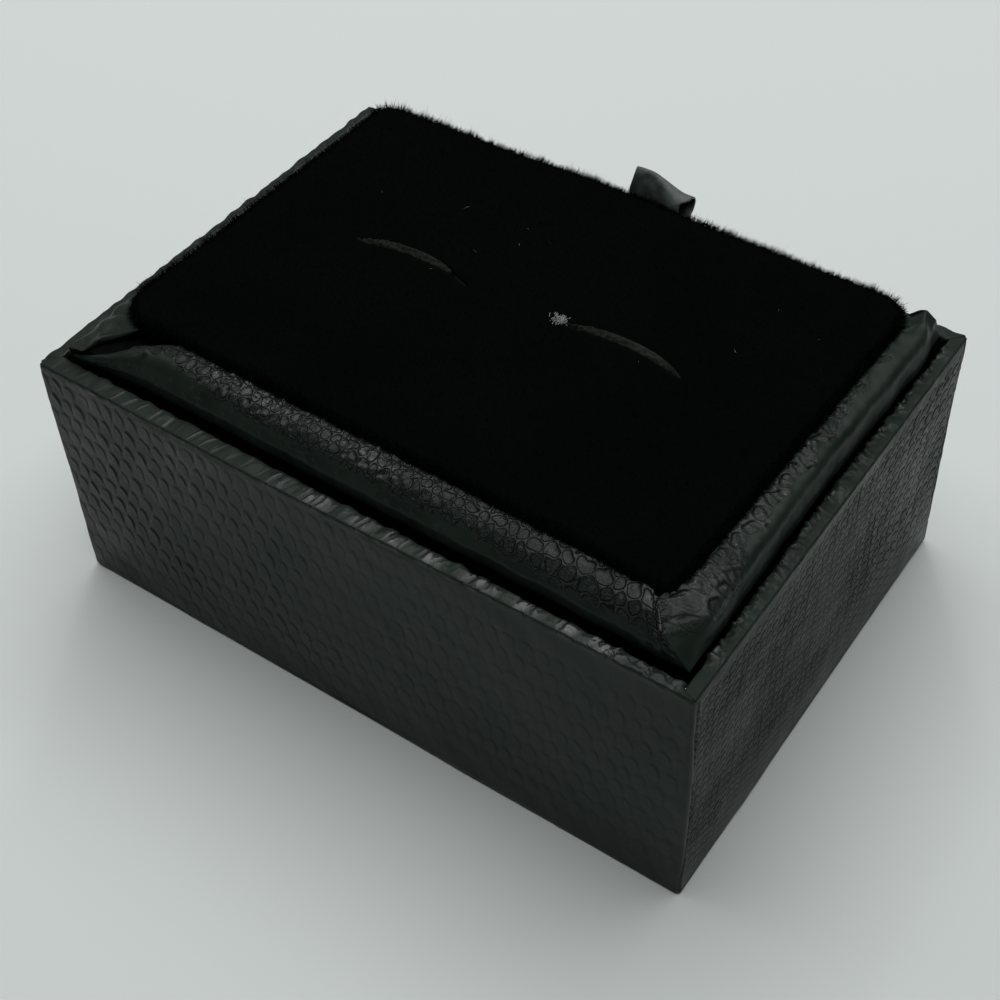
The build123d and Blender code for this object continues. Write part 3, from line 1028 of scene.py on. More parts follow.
def collar_cells(side, along, v):
    """Cell coordinates of the rings: along the front they are closest left of the middle."""
    if side == "front":
        stations = np.array([-38, -24, -14, -8, 6, 14, 20, 27, 38], float)
        pitches = np.array([1.6, 1.6, 1.35, 1.22, 1.25, 1.4, 1.65, 1.8, 1.7])
        rows = np.array([1.3, 1.3, 1.15, 1.1, 1.1, 1.2, 1.35, 1.4, 1.4])
        fine = np.linspace(-40, 40, 801)
        count = np.concatenate([[0], np.cumsum(np.diff(fine) / np.interp(fine[1:], stations, pitches))])
        u = np.interp(along, fine, count)
        w = (v - 3.75) / np.interp(along, stations, rows)
    elif side == "right":
        u, w = along / 2.2, (v - 3.3) / 1.6
    else:
        u, w = along / 1.7, v / 1.4
    u = u + 0.1 * waves(along, v, 7, 15) + 0.09 * waves(along, v, 2.2, 25)
    return u, w + 0.08 * waves(along, v, 6, 16) + 0.09 * waves(along, v, 2.0, 26)


def ring_strength(side, along, v, top):
    """Where the rings show: on the top beside the pad, fading over the fold.

    A step down at a reach that wanders along the strip, times fades towards its ends.
    """
    if side == "front":
        reach = top + 0.7 * ease(along, 12, 27) - 1.6 * hump(along, -27, 8)
        reach = reach + 0.15 * waves(along, 0 * v, 3, 17)
        return ease(along, -33.5, -25) * (1 - ease(v, reach - 0.3, reach + 0.2))
    if side == "right":
        near = 1 - ease(along, -20, -12)
        reach = 4.0 + 1.5 * near - 0.7 * ease(along, 0, 14) + 0.25 * waves(along, 0 * v, 4, 18)
        edge = 1 - ease(v, reach - 0.35, reach + 0.25)
        shown = 0.8 * (1 - 0.3 * ease(-along, 21.5, 24)) * (1 - 0.5 * ease(along, 2, 14))
        return edge * shown * (1 - ease(along, 17, 20))
    return 0.15 * np.ones_like(along)


def collar_shape(side, along, laid, v, length, settings):
    """How far a strip's surface stands out from its plain section, its lattice and its masks.

    Laid is the distance along the strip once its ends are pulled in, and carries the rings.
    The padding swells as sin(pi v / length), the outer face leans as measured along each side,
    and crumples, pinches and gathers are shaped where the covering was worked round the corners.
    """
    top = {"front": 5.95, "right": 5.5, "back": 3.2, "left": 3.6}[side]
    cells = np.stack(collar_cells(side, laid, v), -1)
    emboss = ring_strength(side, laid, v, top)
    lean = (0.3, -0.75) if side == "right" else (0.2, -0.3)
    scales = raised_scales(cells[..., 0], cells[..., 1], lean, 0.45)
    ring = -settings.ring_relief / METRE * emboss * scales
    swell = settings.swell / METRE * np.sin(math.pi * np.clip(v / length, 0, 1))
    loose = 0.035 * waves(along, v, 5.5, 51 + len(side)) + 0.012 * waves(along, v, 1.7, 52 + len(side))
    height = ring + swell + loose
    crumple = 0.15 * emboss
    if side == "front":
        worked = hump(along, -15, 7) + 0.8 * hump(along, 3, 6) + 0.55 * ease(along, 11, 19)
        crumple = crumple + emboss * np.clip(worked, 0, 1)
        worked_in = emboss * (0.25 + worked) * 0.045 * waves(along, v, 0.8, 61)
        height = height + worked_in * (1 - 0.6 * ease(along, 11, 19))
        flecks = np.clip(waves(along, v, 0.9, 62) - 1.2, 0, 1) * hump(v, 6.3, 0.8)
        height = height + 0.14 * flecks * (1 - ease(along, 10, 20))
        gather = ease(along, 30.5, 34)
        height = height + gather * 0.03 * waves(along, v, 1.3, 63)
        height = height - 0.28 * crease(along, v, [(34.6, 2.6), (35.0, 4.0), (35.6, 5.6)], 0.16)
        height = height + 0.12 * crease(along, v, [(33.4, 2.8), (34.0, 4.6)], 0.4)
        crumple = crumple + 0.6 * gather * (1 - ease(v, 5.4, 6.2))
        height = height - 0.1 * hump(along, -8.6, 0.5) * (1 - ease(v, 4, 6.5))
        height = height + 0.28 * crease(along, v, [(-29.6, 2.6), (-28.4, 3.4), (-28.0, 4.6)], 0.35)
    if side == "right":
        fold = ease(-along, 18.5, 22)
        above = 1 - ease(v, 4.6, 5.6)
        gathers = 0.02 * waves(along, v, 1.8, 71) + 0.015 * waves(along, v, 0.8, 73)
        height = height + fold * gathers * above
        height = height + 0.3 * crease(along, v, [(-24.3, 2.9), (-23.2, 2.5), (-21.6, 2.6)], 0.3)
        height = height - 0.25 * crease(along, v, [(-24.4, 3.6), (-23.2, 3.3), (-21.8, 3.3)], 0.16)
        height = height - 0.16 * crease(along, v, [(-24.6, 4.6), (-23.4, 4.4), (-22.4, 4.5)], 0.18)
        height = height - 0.18 * crease(along, v, [(21.5, 2.6), (23.0, 3.6), (24.0, 4.6)], 0.3)
        height = height + emboss * 0.04 * waves(along, v, 0.9, 72)
        crumple = crumple + emboss * 0.45 * (1 - ease(along, 4, 12)) + 0.1 * fold * above
    if side == "left":
        flap = ease(along, 15, 20)
        height = height + flap * (0.09 * waves(along, v, 2.1, 81) + 0.1)
        height = height - 0.1 * crease(along, v, [(17.5, 1.0), (21.5, 2.4), (24.5, 3.0)], 0.3)
    return height, cells, emboss, np.clip(crumple, 0, 1)


def collar_lean(side, along):
    """How far a strip's outer face stands out from its plain place.

    In a straight line along the front, and on the right as the square of the distance from the
    middle, less a bell there.
    """
    if side == "front":
        return 0.2 + 0.45 * along / COLLAR_X
    if side == "right":
        return 0.45 + 0.4 * (along / COLLAR_Y) ** 2 - 0.15 * hump(along, 0, 8)
    return 0.0 * along


def drawn_to(points, xi, label, stations, at_end, half):
    """Draws one end of a strip on to a seam line, the pull fading out over the seam's reach.

    The hidden lining has stations from 1 to 2, along the chord back to the seam's start.
    """
    seam = np.array([*COLLAR_SEAMS[label], COLLAR_SEAMS[label][0]], float)
    target = np.stack([np.interp(stations, (*SEAM_STATIONS, 2.0), seam[:, k]) for k in range(3)], 1)
    end = points[:, -1] if at_end else points[:, 0]
    away = (target - end)[:, None, :]
    distance = (1 - xi) if at_end else (1 + xi)
    fade = 1 - ease(distance * half, 0, SEAM_REACH[label])
    return points + away * fade[None, :, None]


def make_collar_strip(side, settings, material):
    """A padded strip as one closed form, mitred or gathered into its neighbours at both ends.

    point = section(v) + height(along, v) * normal(v), carried along the strip. Each end is cut
    on the mitre, where along = half - ratio * inset, and then pulled on to its seam line.
    """
    (ax, ay), (nx, ny), _, _ = SIDES[side]
    half = COLLAR_X if side in ("front", "back") else COLLAR_Y
    reach = COLLAR_Y if side in ("front", "back") else COLLAR_X
    width = reach - PAD_REACH[side]
    step = settings.step / METRE
    seen, normals, length, hidden = collar_loop(side, width, step)
    total = length[-1]
    columns = int(2 * half / (step if side in ("front", "right") else 2 * step))
    xi = np.linspace(-1, 1, columns + 1)
    section = np.concatenate([seen, hidden])
    inset, z = section[:, :1], section[:, 1:]
    is_seen = np.arange(len(section)) < len(seen)
    v = np.where(is_seen, np.concatenate([length, np.full(len(hidden), total)]), total)[:, None]
    normal = np.concatenate([normals, np.zeros((len(hidden), 2))])
    order = list(STRIP_WIDTH)
    before, after = order[order.index(side) - 1], order[(order.index(side) + 1) % 4]
    start = half - STRIP_WIDTH[before] * inset / STRIP_WIDTH[side]
    finish = half - STRIP_WIDTH[after] * inset / STRIP_WIDTH[side]
    along = np.where(xi[None, :] < 0, xi[None, :] * start, xi[None, :] * finish)
    edge = reach - pad_edge(side, along)
    share = np.clip(inset / width, 0, 1)
    lean = collar_lean(side, along) * (1 - share) * ease(v, 1.0, 2.0)
    out = reach - inset - share * np.clip(edge - width, -1, 0.4) + lean
    out = np.where(is_seen[:, None], out, reach - inset)
    slope = 0.55 * hump(along, 23, 9) * (1 - share) if side == "front" else 0 * along
    stations = np.concatenate([length / total, 1 + np.arange(1, len(hidden) + 1) / (len(hidden) + 1)])
    seams = {
        "front": ("front left", "front right"), "right": ("front right", "back right"),
        "back": ("back right", None), "left": (None, "left front"),
    }[side]

    def placed(height):
        off = out + height * (-normal[:, :1])
        tall = z + height * normal[:, 1:] - slope * ease(z, 33.5, RIDGE)
        points = np.stack([ax * along + nx * off, ay * along + ny * off, tall + 0 * along], -1)
        for at_end, label in enumerate(seams):
            if label:
                points = drawn_to(points, xi, label, stations, at_end, half)
        return points

    plain = placed(0 * along)
    laid = ax * plain[..., 0] + ay * plain[..., 1]
    height, cells, emboss, crumple = collar_shape(side, along, laid, v + 0 * along, total, settings)
    shown = (ease(v, 0.6, 1.4) * (1 - ease(v, total - 1.4, total - 0.9)) * is_seen[:, None])
    points = placed(height * shown)
    ids = number_grid(points.shape)
    loop = np.concatenate([ids, ids[:1]])
    caps = np.array([points[:, 0].mean(0), points[:, -1].mean(0)])
    first, last = (np.full(len(ids), ids.size + end) for end in (0, 1))
    closing = np.concatenate([
        np.stack([loop[1:, 0], loop[:-1, 0], first], 1), np.stack([loop[:-1, -1], loop[1:, -1], last], 1),
    ])
    with_caps = lambda a: np.concatenate([a.reshape(ids.size, -1), np.zeros((2, a.size // ids.size))])
    strip = make_object(
        f"{side}_collar", np.concatenate([points.reshape(-1, 3), caps]), [grid_quads(loop)[:, ::-1], closing],
        material, cells=with_caps(cells),
        masks={"emboss": with_caps(emboss * shown), "crumple": with_caps(crumple * shown)},
    )
    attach(strip, "insert")
    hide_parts(f"{side}_collar_cover", f"{side}_collar_padding")


# ---------------------------------------------------------------- pad


SLIT_MIDDLES = (-13.0, 13.0)
SLIT_HALF = 7.65
SLIT_END_Y = 1.8
SLIT_RISE = 1.6
VELVET_ROUND = 0.8
VELVET_LEVEL = PAD_HIGH[2] - 0.05
VELVET_STEP = 0.5
VELVET_TUCK = 4.0
VELVET_THICK = 0.45
CORE_INSET = 1.3          # the foam and its board lie this far inside the velvet's outline
PLAIN_PAD = {"front": 21.5, "right": 34.4, "back": 24.6, "left": 34.5}
PAD_CORNERS = ((-1, -1, 4.2), (1, -1, 1.3), (1, 1, 3.6), (-1, 1, 1.8))


def slit_share(x):
    """Place along a slit, from -1 to 1 at its ends, and past that where there is no slit."""
    q = np.full(np.shape(x), 2.0)
    for middle in SLIT_MIDDLES:
        here = (np.asarray(x) - middle) / SLIT_HALF
        q = np.where(np.abs(here) <= 1 + 1e-9, here, q)
    return q


def pad_plan(inset, step):
    """Columns of the pad's plain rectangle, and its rows before and behind the slits' line.

    Columns fall on the ends of the slits.
    """
    left, right = inset - PLAIN_PAD["left"], PLAIN_PAD["right"] - inset
    slit_ends = [middle + way * SLIT_HALF for middle in SLIT_MIDDLES for way in (-1, 1)]
    stops = [left, *slit_ends, right]
    counts = [max(2, int((b - a) / step) + 1) for a, b in zip(stops[:-1], stops[1:])]
    columns = [np.linspace(a, b, count)[:-1] for a, b, count in zip(stops[:-1], stops[1:], counts)]
    front = np.linspace(inset - PLAIN_PAD["front"], SLIT_END_Y, int(23 / step))
    back = np.linspace(SLIT_END_Y, PLAIN_PAD["back"] - inset, int(22 / step))
    return np.concatenate([*columns, [right]]), front, back


def pad_outline(x, y, inset):
    """Moves the plain rectangle's points on to the pad's own outline.

    Near a corner, squares about its middle become circles.
    """
    fx = ease(x, 18, 34)
    bx = ease(-x, 22, 34)
    fy = ease(-y, 4, 21)
    by = ease(y, 6, 23.5)
    edges = {
        "front": pad_edge("front", x), "right": pad_edge("right", y),
        "back": pad_edge("back", -x), "left": pad_edge("left", -y),
    }
    off = {name: edge - PLAIN_PAD[name] for name, edge in edges.items()}
    new_x = x + fx * off["right"] - bx * off["left"]
    new_y = y - fy * off["front"] + by * off["back"]
    for sx, sy, radius in PAD_CORNERS:
        radius = max(radius - inset, 0.4)
        edge_x = edges["right" if sx > 0 else "left"] - inset
        edge_y = edges["back" if sy > 0 else "front"] - inset
        dx = sx * new_x - (edge_x - radius)
        dy = sy * new_y - (edge_y - radius)
        corner = (dx > 0) & (dy > 0)
        size = np.hypot(dx, dy)
        most = np.maximum(dx, dy)
        k = np.where(corner & (size > 0), most / np.maximum(size, 1e-9), 1)
        new_x = np.where(corner, sx * (edge_x - radius + dx * k), new_x)
        new_y = np.where(corner, sy * (edge_y - radius + dy * k), new_y)
    return new_x, new_y


def pad_surface(x, y, top, crown):
    """Height of the pad's top: a dome crown high, a soft swell, and a rise towards the back.

    dome = (1 - (x / 34.5)^4) * (1 - (y / 23.5)^4)
    """
    dome = np.clip(1 - (x / 34.5) ** 4, 0, 1) * np.clip(1 - (y / 23.5) ** 4, 0, 1)
    return top + crown * dome + 0.05 * waves(x, y, 17, 21) + 0.3 * ease(y, 12, 24)


def slitted_sheet(inset, step, top, settings):
    """Points and faces of the pad's top with both slits open, and its border going round.

    The row that carries the slits bows by SLIT_RISE * (1 - q^2) over each one, its two lips
    stand gape / 2 * (1 - q^2)^0.4 from it, and both fade away from it as exp(-distance / 4).
    """
    crown, gape = settings.crown / METRE, settings.gape / METRE
    base_x, front, back = pad_plan(inset, step)
    q = slit_share(base_x)
    open_here = np.abs(q) < 1 - 1e-9
    bow = np.where(np.abs(q) <= 1, SLIT_RISE * (1 - q**2), 0)
    half_gap = gape / 2 * np.sqrt(np.clip(1 - q**2, 0, 1)) ** 0.8 * np.where(open_here, 1, 0)
    blocks = []
    for rows, lip in ((front, -1), (back, 1)):
        x, y = np.meshgrid(base_x, rows)
        near = np.exp(-np.abs(y - SLIT_END_Y) / 4.0)
        y = y + near * (bow + lip * half_gap)[None, :]
        x, y = pad_outline(x, y, inset)
        sag = 0.12 * np.exp(-np.abs(rows - SLIT_END_Y) / 0.8)[:, None] * open_here[None, :]
        blocks.append(np.stack([x, y, pad_surface(x, y, top, crown) - sag], -1))
    front_ids = number_grid((len(front), len(base_x)))
    back_ids = number_grid((len(back), len(base_x)), front_ids.size)
    back_ids[0] = np.where(open_here, back_ids[0], front_ids[-1])
    points = np.concatenate([b.reshape(-1, 3) for b in blocks])
    quads = np.concatenate([grid_quads(front_ids), grid_quads(back_ids)])
    border = np.concatenate([
        front_ids[0, :-1], front_ids[:-1, -1], back_ids[:-1, -1], back_ids[-1, :0:-1],
        back_ids[:0:-1, 0], front_ids[:0:-1, 0],
    ])
    return points, quads, border


def border_normals(points, border):
    """Outward directions in plan round a closed border, square to the line between neighbours."""
    ring = points[border][:, :2]
    tangent = np.roll(ring, -1, 0) - np.roll(ring, 1, 0)
    normal = np.stack([tangent[:, 1], -tangent[:, 0]], 1)
    return normal / np.linalg.norm(normal, axis=1)[:, None]


def drop_unused(points, faces):
    """Leaves out the points that no face uses."""
    used = np.unique(np.concatenate([f.ravel() for f in faces]))
    new = np.full(len(points), -1)
    new[used] = np.arange(len(used))
    return points[used], [new[f] for f in faces]


def pad_band(points, border, bottom):
    """The velvet's side: a quarter round from the top's border, down, and in under the board.

    The quarter is (r sin a, -r (1 - cos a)), the fall is straight, and the tuck runs level.
    """
    normal = border_normals(points, border)[:, None, :]
    start = points[border]
    angle = np.linspace(0, math.pi / 2, 9)[1:]
    out = np.concatenate([
        VELVET_ROUND * np.sin(angle),
        np.full(6, VELVET_ROUND),
        VELVET_ROUND - np.linspace(0.15, VELVET_TUCK, 7),
    ])
    depth = start[:, 2:] - bottom
    drop = np.concatenate([
        VELVET_ROUND * (1 - np.cos(angle))[None, :] + 0 * depth,
        VELVET_ROUND + (depth - VELVET_ROUND) * np.linspace(0.15, 1, 6)[None, :],
        depth + np.zeros((1, 7)),
    ], 1)
    side = start[:, None, :] + np.concatenate([normal * out[None, :, None], -drop[..., None]], 2)
    return np.swapaxes(side, 0, 1)


def make_pad(settings, velvet, foam_material):
    """The velvet cover, the slitted foam under it, and the pad's board."""
    points, quads, border = slitted_sheet(VELVET_ROUND, VELVET_STEP, VELVET_LEVEL, settings)
    band = pad_band(points, border, PAD_LOW[2] + 0.02)
    ring = np.concatenate([border[None, :], number_grid(band.shape, len(points))])
    ring = np.concatenate([ring, ring[:, :1]], 1)
    points = np.concatenate([points, band.reshape(-1, 3)])
    points, faces = drop_unused(points, [quads, grid_quads(ring)[:, ::-1]])
    cover = make_object("velvet_cover", points, faces, velvet, outward=(0, 0, 1))
    thicken(cover, "Velvet thickness", VELVET_THICK * METRE)
    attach(cover, "insert")
    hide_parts("pad_velvet")

    points, quads, _ = slitted_sheet(CORE_INSET, 0.6, FOAM_HIGH[2] - 0.06, settings)
    points[:, 2] = np.minimum(points[:, 2], FOAM_HIGH[2] + 0.1)
    points, faces = drop_unused(points, [quads])
    foam = make_object("pad_foam_sheet", points, faces, foam_material, outward=(0, 0, 1))
    thicken(foam, "Foam thickness", (FOAM_HIGH[2] - FOAM_LOW[2] - 0.12) * METRE)
    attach(foam, "insert")
    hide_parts("pad_foam")

    base_x, front, back = pad_plan(CORE_INSET, 1.5)
    x, y = pad_outline(*np.meshgrid(base_x, np.concatenate([front[:-1], back])), CORE_INSET)
    low, high = box_mm("pad_board")
    points = np.stack([x, y, high[2] + 0 * x], -1).reshape(-1, 3)
    quads = grid_quads(number_grid(x.shape))
    board = make_object("pad_board_sheet", points, [quads], greyboard(), outward=(0, 0, 1), smooth=False)
    thicken(board, "Board thickness", (high[2] - low[2]) * METRE)
    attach(board, "insert")
    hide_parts("pad_board")


def make_slit_foam(settings, material):
    """The foam's cut edge, swelling up into each slit: a long lens with a rounded top.

    The top is z = crest - 0.3 * t^2 - 0.25 * |q|^3, roughened, and the half width is
    0.7 * gape * (1 - |q|^2.4)^0.5, with q running along the slit and t across it from -1 to 1.
    """
    q, t = np.meshgrid(np.linspace(-1, 1, 121), np.linspace(-1, 1, 13))
    half = settings.gape / METRE * 0.7 * np.sqrt(np.clip(1 - np.abs(q) ** 2.4, 0, 1)) + 0.01
    shapes, faces, offset = [], [], 0
    for middle, first, last in zip(SLIT_MIDDLES, (-0.99, -0.9), (0.6, 0.97)):
        along = first + (last - first) * (q + 1) / 2
        x = middle + SLIT_HALF * along
        lean = -2 * SLIT_RISE * along / SLIT_HALF
        y = SLIT_END_Y + SLIT_RISE * (1 - along**2)
        x, y = pad_outline(x - lean * half * t, y + half * t, VELVET_ROUND)
        rough = 0.07 * waves(x, y, 0.7, 33) * (1 - t**4)
        crest = pad_surface(x, y, VELVET_LEVEL, settings.crown / METRE) + 0.3
        top = np.stack([x, y, crest - 0.3 * t**2 - 0.25 * np.abs(q) ** 3 + rough], -1)
        low = np.stack([x, y, crest - 0.5 * t**2 - 0.9], -1)
        ids = number_grid(q.shape, offset)
        under = ids + q.size
        ring, below = border_of(ids), border_of(under)
        sides = np.stack([ring, below, np.roll(below, -1), np.roll(ring, -1)], 1)
        faces += [grid_quads(ids), grid_quads(under)[:, ::-1], sides]
        shapes += [top.reshape(-1, 3), low.reshape(-1, 3)]
        offset += 2 * q.size
    foam = make_object("slit_foam", np.concatenate(shapes), [np.concatenate(faces)], material)
    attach(foam, "insert")


TOP_SHARE = 0.36          # this share of the fibres stands on the top, the rest round its edge
LONG_SHARE = 0.08
ROOT_DEPTH = 0.12
NAP = (0.1, -0.12, 0.0)   # the way the pile lies


def fibre_roots(settings, rng):
    """Roots and directions of the fibres: all over the top, and thick round the edge.

    On the top each root is (1 - s)(1 - t) a + s(1 - t) b + s t c + (1 - s) t d in a quad that is
    picked by its area. Round the edge the root and its direction turn over a quarter circle
    and go on down the side.
    """
    points, quads, border = slitted_sheet(VELVET_ROUND, VELVET_STEP, VELVET_LEVEL, settings)
    on_top = int(settings.tufts * TOP_SHARE)
    corner = points[quads]
    area = np.linalg.norm(np.cross(corner[:, 1] - corner[:, 0], corner[:, 3] - corner[:, 0]), axis=1)
    middle = corner.mean(1)
    share = slit_share(middle[:, 0])
    line = SLIT_END_Y + SLIT_RISE * (1 - share**2)
    in_slit = (np.abs(share) <= 1) & (middle[:, 1] < line + 0.45) & (middle[:, 1] > line - 0.95)
    weight = area * np.where(in_slit, 0.02, 1)
    pick = rng.choice(len(quads), on_top, p=weight / weight.sum())
    s, t = rng.random((2, on_top, 1))
    c = corner[pick]
    roots = c[:, 0] * (1 - s) * (1 - t) + c[:, 1] * s * (1 - t) + c[:, 2] * s * t + c[:, 3] * (1 - s) * t
    up = np.tile([0.0, 0.0, 1.0], (on_top, 1))
    at_edge = settings.tufts - on_top
    normal = border_normals(points, border)
    start = points[border]
    gap = np.linalg.norm(np.roll(start, -1, 0) - start, axis=1)
    pick = rng.choice(len(border), at_edge, p=gap / gap.sum())
    along = rng.random((at_edge, 1))
    following = (pick + 1) % len(border)
    base = start[pick] * (1 - along) + start[following] * along
    out = normal[pick] * (1 - along) + normal[following] * along
    out /= np.linalg.norm(out, axis=1)[:, None]
    lean = rng.beta(1.3, 1.5, (at_edge, 1)) * 2.0
    angle = np.minimum(lean, 1.0) * math.pi / 2
    depth = np.maximum(lean - 1.0, 0) * 1.7
    offset = VELVET_ROUND * np.sin(angle)
    drop = VELVET_ROUND * (1 - np.cos(angle)) + depth
    edge = base + np.concatenate([out * offset, -drop], 1)
    side = np.concatenate([out * np.sin(angle), np.cos(angle)], 1)
    return np.concatenate([roots, edge]), np.concatenate([up, side])


def make_pile(settings, velvet):
    """Fibres as slender three-sided spikes: a small triangle at the root and a point at the tip.

    tip = root + length * unit(direction + nap + scatter). The root is sunk a little way in.
    """
    rng = np.random.default_rng(7)
    roots, direction = fibre_roots(settings, rng)
    count = len(roots)
    scatter = rng.normal(0, 0.23, (count, 3))
    way = direction + np.array(NAP) + scatter
    way /= np.linalg.norm(way, axis=1)[:, None]
    tall = settings.pile / METRE * rng.uniform(0.5, 1.35, (count, 1))
    tall = tall * (0.85 + 0.15 * waves(roots[:, :1], roots[:, 1:2], 3, 9))
    helper = np.where(np.abs(way[:, :1]) < 0.7, [[1.0, 0, 0]], [[0, 1.0, 0]])
    across = np.cross(way, helper)
    across /= np.linalg.norm(across, axis=1)[:, None]
    over = np.cross(way, across)
    tall[: int(settings.tufts * TOP_SHARE)] *= 0.5
    tall *= np.where(rng.random((count, 1)) < LONG_SHARE, 1.5, 1)
    radius = rng.uniform(0.025, 0.046, (count, 1))
    turn = rng.uniform(0, math.tau, (count, 1))
    corners = []
    for k in range(3):
        angle = turn + k * math.tau / 3
        corners.append(roots - ROOT_DEPTH * way + radius * (np.cos(angle) * across + np.sin(angle) * over))
    tips = roots + tall * way
    points = np.stack(corners + [tips], 1).reshape(-1, 3)
    first = 4 * np.arange(count)[:, None]
    faces = np.concatenate([first + np.array(f) for f in ((0, 1, 3), (1, 2, 3), (2, 0, 3), (2, 1, 0))])
    pile = make_object("velvet_pile", points, [faces], velvet, smooth=False)
    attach(pile, "insert")


# ---------------------------------------------------------------- tab and lint


TAB_UP = [(24.99, 22.6), (24.99, 26.5), (24.99, 30.3), (25.69, 31.75), (25.71, 33.4)]
TAB_DOWN = [(25.98, 33.4), (25.96, 31.7), (25.27, 30.25), (25.27, 26.5), (25.27, 22.6)]
TAB_RIGHT = [
    *TAB_UP,
    (25.74, 34.8), (25.72, 35.75), (25.05, 36.2), (24.78, 36.95), (25.2, 37.7), (26.0, 37.98),
    (26.8, 37.72), (27.2, 37.0), (26.85, 36.25), (26.05, 35.75), (25.98, 34.8),
    *TAB_DOWN,
]
TAB_LEFT = [
    *TAB_UP,
    (25.71, 34.6), (25.74, 35.6), (25.85, 36.7), (26.1, 37.7), (26.4, 38.7), (26.75, 39.15),
    (27.1, 38.75), (26.9, 37.7), (26.5, 36.6), (26.15, 35.4), (25.98, 34.5),
    *TAB_DOWN,
]


def smooth_line(points, count):
    """Catmull-Rom curve through points, count samples to each run."""
    p = np.array(points, float)
    p = np.concatenate([2 * p[:1] - p[1:2], p, 2 * p[-1:] - p[-2:-1]])
    t = np.linspace(0, 1, count, endpoint=False)[None, :, None]
    a, b, c, d = (p[k : len(p) - 3 + k, None, :] for k in range(4))
    square, cube = 2 * a - 5 * b + 4 * c - d, 3 * b - a - 3 * c + d
    curve = 0.5 * (2 * b + (c - a) * t + square * t**2 + cube * t**3)
    return np.concatenate([curve.reshape(-1, p.shape[1]), p[-2:-1]])


def make_tab(settings, material):
    """One length of ribbon: up from the back skirt, round an open loop, and down again.

    Its section runs from the right edge's line to the left edge's, which is taller and flatter:
    p = (1 - w) * right + w * left, with w eased across the ribbon's width.
    """
    right, left = smooth_line(TAB_RIGHT, 7), smooth_line(TAB_LEFT, 7)
    across = np.linspace(0, 1, 33)
    w = ease(across, 0.02, 0.78)[None, :, None]
    line = right[:, None, :] * (1 - w) + left[:, None, :] * w
    height = line[..., 1]
    up = ease(height, 34.6, 36.5)
    flare_left = -0.45 * up * (1 - 0.9 * ease(height, 36.3, 39.2))
    flare_right = -0.35 * up - 0.85 * up * hump(line[..., 0], 24.9, 0.5)
    x = (TAB_HIGH[0] + flare_right) * (1 - across)[None, :] + (TAB_LOW[0] + flare_left) * across[None, :]
    wobble = 0.04 * waves(x, height, 2.2, 301) * up
    points = np.stack([x, line[..., 0] + wobble, height + 0.5 * wobble], -1)
    length = path_normals(right)[1]
    cells = np.stack([x, np.broadcast_to(length[:, None], x.shape)], -1).reshape(-1, 2)
    ribbon = make_object(
        "pull_ribbon", points.reshape(-1, 3), [grid_quads(number_grid(x.shape))], material, cells=cells,
        outward=(0, -1, 0),
    )
    thicken(ribbon, "Ribbon thickness", settings.thickness, 0)
    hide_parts("pull_tab", "pull_tab_tail")
    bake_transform(ribbon)


def thread_tubes(starts, directions, lengths, bends, radius):
    """Thin bent threads as closed four-sided tubes: p(t) = start + length * (t * dir + t^2 * bend)."""
    steps = 7
    t = np.linspace(0, 1, steps)[None, :, None]
    line = starts[:, None] + lengths[:, None, None] * (t * directions[:, None] + t**2 * bends[:, None])
    way = np.gradient(line, axis=1)
    way /= np.linalg.norm(way, axis=2)[..., None]
    side = np.cross(way, [0.1, 0.2, 1.0])
    side /= np.linalg.norm(side, axis=2)[..., None]
    other = np.cross(way, side)
    taper = radius * (0.4 + 0.6 * np.sin(np.pi * np.clip(t, 0.05, 0.95)))
    angles = [k * math.tau / 4 for k in range(4)]
    ring = np.stack([line + taper * (math.cos(a) * side + math.sin(a) * other) for a in angles], 2)
    ids = np.arange(len(starts) * steps * 4).reshape(-1, steps, 4)
    near, far = ids[:, :-1], ids[:, 1:]
    quads = np.stack([near, far, np.roll(far, -1, 2), np.roll(near, -1, 2)], -1).reshape(-1, 4)
    ends = np.concatenate([ids[:, 0], ids[:, -1, ::-1]])
    return ring.reshape(-1, 3), [np.concatenate([quads, ends])]


TUFT_THREADS = 150
TUFT_PLACE = (5.75, 2.25)
TUFT_SPREAD = (0.36, 0.3, 0.16)
LINT_LEVEL = PAD_HIGH[2] + 0.6
LINT_SPOTS = [
    (-22.9, 9.6), (-13.2, 12.8), (-5.6, 13.1), (-4.9, 10.3), (-2.2, 12.3), (-7.9, 6.6), (-10.4, 1.6),
    (15.9, 1.1), (23.8, 15.7), (29.3, 13.9), (23.0, 8.0),
]


def make_lint(material):
    """A tuft of pale lint at the right-hand slit, and a few flecks on the pile."""
    rng = np.random.default_rng(12)
    starts = np.array([*TUFT_PLACE, LINT_LEVEL]) + rng.normal(0, 1, (TUFT_THREADS, 3)) * TUFT_SPREAD
    spots = np.array([(x, y, LINT_LEVEL - 0.05) for x, y in LINT_SPOTS])
    starts = np.concatenate([starts, spots])
    count = len(starts)
    way = rng.normal(0, 1, (count, 3)) * [1, 1, 0.25]
    way /= np.linalg.norm(way, axis=1)[:, None]
    bends = rng.normal(0, 0.5, (count, 3)) * [1, 1, 0.4]
    lengths = np.concatenate([rng.uniform(0.12, 0.3, TUFT_THREADS), rng.uniform(0.12, 0.36, len(spots))])
    radii = np.concatenate([np.full(TUFT_THREADS, 0.028), rng.uniform(0.008, 0.013, len(spots))])
    points, faces = thread_tubes(starts, way, lengths, bends * 2.0, radii[:, None, None])
    lint = make_object("lint", points, faces, material)
    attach(lint, "insert")


# ---------------------------------------------------------------- operators


def settings_of(context, name):
    """One of the box's groups of settings."""
    return getattr(context.scene.cufflink_box, name)


